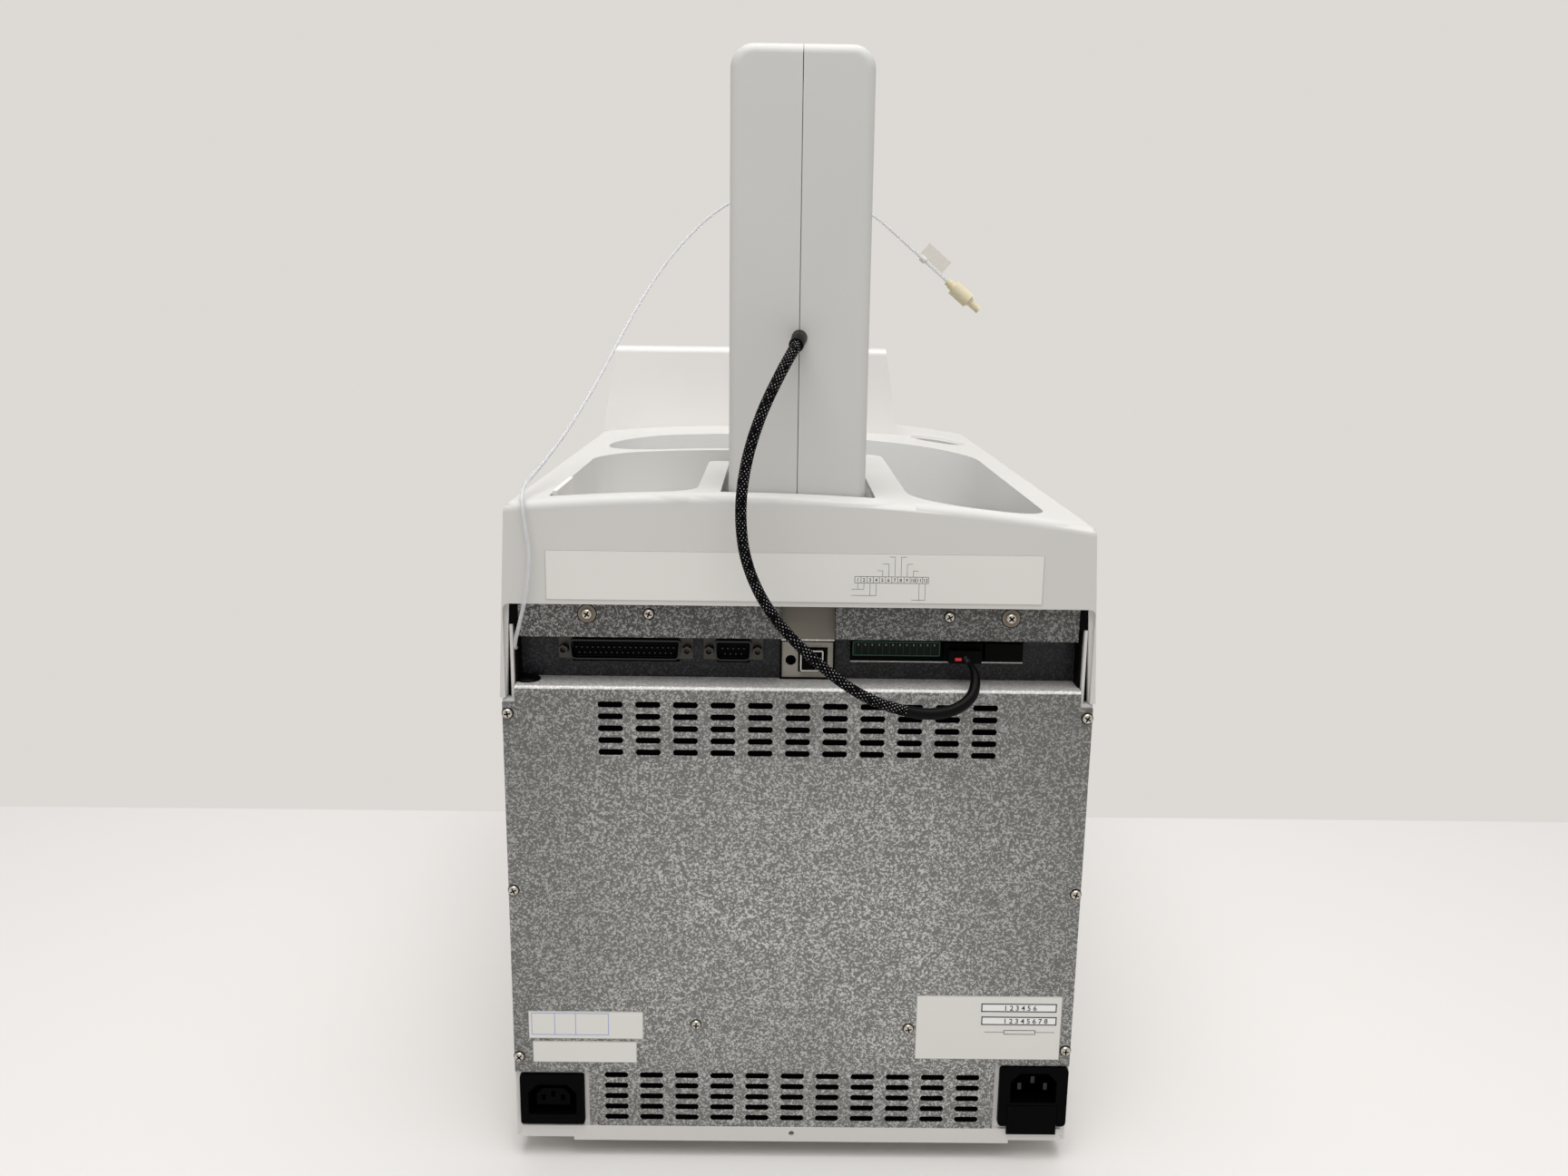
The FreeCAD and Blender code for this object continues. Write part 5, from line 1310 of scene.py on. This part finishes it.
# Painted shade: a thin black sheet closes the slot that the drive connectors and the terminal block stand
# in.
block(cores, (-116.4, -27.0), (18.7, 19.05), (279.0, 292.0))
dark_cores = finished(cores, "connector_floors", "chassis", ink_black, slots["connector_cores"])
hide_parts("connector_cores")
slot_edge = bmesh.new()
block(slot_edge, (-27.0, -80.6), (18.55, 19.1), (278.2, 278.8), 0.1)
block(slot_edge, (-88.6, -116.5), (18.55, 19.1), (278.2, 278.9), 0.1)
block(slot_edge, (-18.2, 8.8), (8.7, 9.3), (291.7, 292.5), 0.1)
finished(slot_edge, "slot_edge", "chassis", fold_zinc, slots["connector_plate"])
latch = bmesh.new()
block(latch, (-79.8, -83.2), (7.3, 8.3), (282.2, 283.8), 0.25)
latch_red = dark_plastic("latch_red", shade(222, 56, 66), 0.4)
finished(latch, "plug_latch", "chassis", latch_red, slots["signal_plug"])
print(len(drive_openings), "drive connectors")

# %% [markdown]
# Where the sheets of the shelf end, the real object shows black: a black block in the gap behind the
# white upright edge of each side panel is painted shade. It is wider above, where the strip ends, than
# below it.

# %% Painted shade at the shelf's ends
seal_outside = 147.9
seals = bmesh.new()
for side in (-1, 1):
    block(seals, (side * 141.4, side * seal_outside), (4.2, 9.0), (299.9, 319.4))
    block(seals, (side * 142.8, side * seal_outside), (6.5, 18.0), (262.0, 299.9))
finished(seals, "end_seals", "chassis", ink_black, "foot_rubber")
print("the seals end %.1f mm from the middle" % seal_outside)

# %% [markdown]
# A low rubber grommet sits on the shelf's left end. Its dome is a spun profile, like the screw heads, but
# far flatter.

# %% Grommet
def spun(profile):
    """A full spin about the vertical of points given as radius and height, closed at its ends."""
    shape = bmesh.new()
    corners = [shape.verts.new((r, 0, z)) for r, z in profile]
    edges = [shape.edges.new(pair) for pair in zip(corners, corners[1:])]
    bmesh.ops.spin(shape, geom=corners + edges, cent=(0, 0, 0), axis=(0, 0, 1), angle=math.tau, steps=36,
                   use_merge=True)
    bmesh.ops.remove_doubles(shape, verts=shape.verts, dist=0.00002)
    bmesh.ops.holes_fill(shape, edges=[edge for edge in shape.edges if edge.is_boundary], sides=0)
    bmesh.ops.recalc_face_normals(shape, faces=shape.faces)
    for face in shape.faces:
        face.smooth = True
    return shape


grommet_profile = ((0.0, 0.0026), (0.0018, 0.0026), (0.0026, 0.0022), (0.0034, 0.0018), (0.0052, 0.0016),
                   (0.0062, 0.0009), (0.0064, 0.0))
grommet = spun(grommet_profile)
bmesh.ops.translate(grommet, verts=grommet.verts, vec=(0.1385, rear - 0.0115, 0.269))
shelf_grommet = finished(grommet, "shelf_grommet", "chassis", black_gloss, slots["grommets"])
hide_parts("grommets")
print("grommet %.1f mm across" % (2000 * grommet_profile[-1][0]))

# %% [markdown]
# Behind both fields of vent slots lies a mat of flat black, a painted shade that stands in for the dark
# inside of the instrument. It is why the slots look solid black from every side. The fields' size comes
# from the slots' pitch and count.

# %% Painted shade behind the vent slots
mats = bmesh.new()
for low, high in fields:
    block(mats, (-half_field, half_field), (2.2, 5.2), (low - 4, high + 4), 0.4)
filter_foam = dark_plastic("filter_foam", shade(4, 4, 4), 0.9, 700.0, 0.03)
finished(mats, "vent_filters", "chassis", filter_foam, "foot_rubber")
print("each mat is %.0f mm wide" % (2 * half_field))

# %% [markdown]
# A flat tab stands up from the pocket's outer wall, a little above the rim. It catches light along its
# top edge, so its edges are bevelled.

# %% Pocket tab
tab = bmesh.new()
tab_z = (352.0, 366.6)
block(tab, (121.6, 124.2), (14, 66), tab_z, 0.5)
# Painted light: the tab takes the head's lighter tone, which sets it off from the wall beside it.
finished(tab, "pocket_tab", "chassis", head_plastic, "cover_plastic")
print("the tab is %.1f mm high" % (tab_z[1] - tab_z[0]))

# %% [markdown]
# A film label on a textured cover shows by its outline, where dust and shadow gather at its cut edge. Each
# outline is a hair of grey ink a little inside the film's edge.

# %% Label outlines
edges_of_film = bmesh.new()
edge_inset = 0.15
films = islands("label_plates")
for low, high in films:
    outline(edges_of_film, (low.x * 1000 + edge_inset, high.x * 1000 - edge_inset),
            (low.z * 1000 + edge_inset, high.z * 1000 - edge_inset), 0.25)
edge_grey = Paint("edge_grey", shade(178, 175, 169), 0.6)
finished(edges_of_film, "label_outlines", "chassis", edge_grey)
print(len(films), "films")

# %% [markdown]
# The instrument stands on a white bench in front of a pale wall. The wall is only a colour that camera
# rays see, so it can't block the view from the door side, and the bench turns into the wall's tone behind
# the instrument, where the photograph shows the two meet. Close to the door, where the instrument hides
# the bench from the camera, the bench keeps its own light and shadow, so the views from there are grounded.

# %% Floor and backdrop
wall_tone = shade(221, 217, 213)
bench_tone = shade(236, 233, 230)
floor_mesh = bpy.data.meshes.new("bench_top")
floor_shape = bmesh.new()
bmesh.ops.create_grid(floor_shape, x_segments=1, y_segments=1, size=3.0)
floor_shape.to_mesh(floor_mesh)
floor_shape.free()
floor = bpy.data.objects.new("bench_top", floor_mesh)
bpy.context.collection.objects.link(floor)
floor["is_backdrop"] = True
bench = Paint("bench", bench_tone, 0.6)
bench_place = bench.node("ShaderNodeSeparateXYZ", inputs={0: bench.place()}, output=1)
far_part = bench_place.below(rear - 0.49, 0.004)
door_side = (0.0, rear - 0.62, 0.0)
from_door = bench.node("ShaderNodeVectorMath", {"operation": "DISTANCE"},
                       {0: bench.place(), 1: door_side}, output=1)
bench.set("Base Color", bench.mix(far_part, bench_tone, wall_tone))
far_part = far_part * from_door.above(0.2, 0.1)
seen = bench.node("ShaderNodeLightPath", output="Is Camera Ray")
mirrored = Link(bench, seen.socket.node.outputs["Is Glossy Ray"])
through = Link(bench, seen.socket.node.outputs["Is Transmission Ray"])
glow = bench.node("ShaderNodeEmission", inputs={"Color": wall_tone, "Strength": 1.0})
any_of_them = bench.node("ShaderNodeMath", {"operation": "ADD", "use_clamp": True},
                         {0: seen + mirrored, 1: through})
surface = bench.node("ShaderNodeMixShader",
                     inputs={0: far_part * any_of_them, 1: Link(bench, bench.shader.outputs[0]), 2: glow})
bench.tree.links.new(surface.socket, bench.tree.nodes["Material Output"].inputs["Surface"])
coat(floor, bench)
print("the bench turns into the wall at y = %.2f m" % (rear - 0.49))

# %% [markdown]
# The room's light is an even grey from all round. Rays from the camera, and rays that have been mirrored
# or have passed through clear plastic, see the wall's own tone instead, so metal and tubing show the same
# background as the picture does.

# %% World light
world = bpy.data.worlds.new("studio")
bpy.context.scene.world = world
world.use_nodes = True
sky = world.node_tree
background = sky.nodes["Background"]
background.inputs["Color"].default_value = (1, 1, 1, 1)
background.inputs["Strength"].default_value = 0.4
seen_wall = sky.nodes.new("ShaderNodeBackground")
seen_wall.inputs["Color"].default_value = (*wall_tone, 1)
path = sky.nodes.new("ShaderNodeLightPath")
either = sky.nodes.new("ShaderNodeMath")
either.operation = "MAXIMUM"
mirrored_too = sky.nodes.new("ShaderNodeMath")
mirrored_too.operation = "MAXIMUM"
sky.links.new(path.outputs["Is Camera Ray"], mirrored_too.inputs[0])
sky.links.new(path.outputs["Is Glossy Ray"], mirrored_too.inputs[1])
sky.links.new(mirrored_too.outputs[0], either.inputs[0])
sky.links.new(path.outputs["Is Transmission Ray"], either.inputs[1])
choose = sky.nodes.new("ShaderNodeMixShader")
sky.links.new(either.outputs[0], choose.inputs[0])
sky.links.new(background.outputs[0], choose.inputs[1])
sky.links.new(seen_wall.outputs[0], choose.inputs[2])
sky.links.new(choose.outputs[0], sky.nodes["World Output"].inputs["Surface"])
print("the room's strength is %.1f" % background.inputs["Strength"].default_value)

# %% [markdown]
# Two wide soft panels hang under the ceiling, one over the instrument and one nearer to the camera. Light
# from above makes level faces brighter than upright ones, as in the photograph, and with panels this wide
# the shadow on the bench stays soft.

# %% Studio lamps
def lamp(name, place, target, size, power):
    light = bpy.data.lights.new(name, "AREA")
    light.size = size
    light.energy = power
    holder = bpy.data.objects.new(name, light)
    holder.location = place
    holder.rotation_euler = (Vector(target) - Vector(place)).to_track_quat("-Z", "Y").to_euler()
    bpy.context.collection.objects.link(holder)


lamp("ceiling_panel", (-0.1, 0.1, 2.0), (0, 0, 0.3), 1.6, 20)
lamp("ceiling_by_camera", (0.1, rear + 0.7, 1.9), (0, rear, 0.1), 1.4, 15)
print(len(bpy.data.lights), "lamps")

# %% [markdown]
# The box of everything that is seen is kept beside the box of the bare CAD model, to show that the new
# pieces stay close to the solids.

# %% Sizes of the CAD box and of the finished model
seen_low, seen_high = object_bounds()
sizes = {"cad": [list(cad_low), list(cad_high)], "visual": [list(seen_low), list(seen_high)]}
print("grows by", [round(v, 4) for v in (*(cad_low - seen_low), *(seen_high - cad_high))])

# %% [markdown]
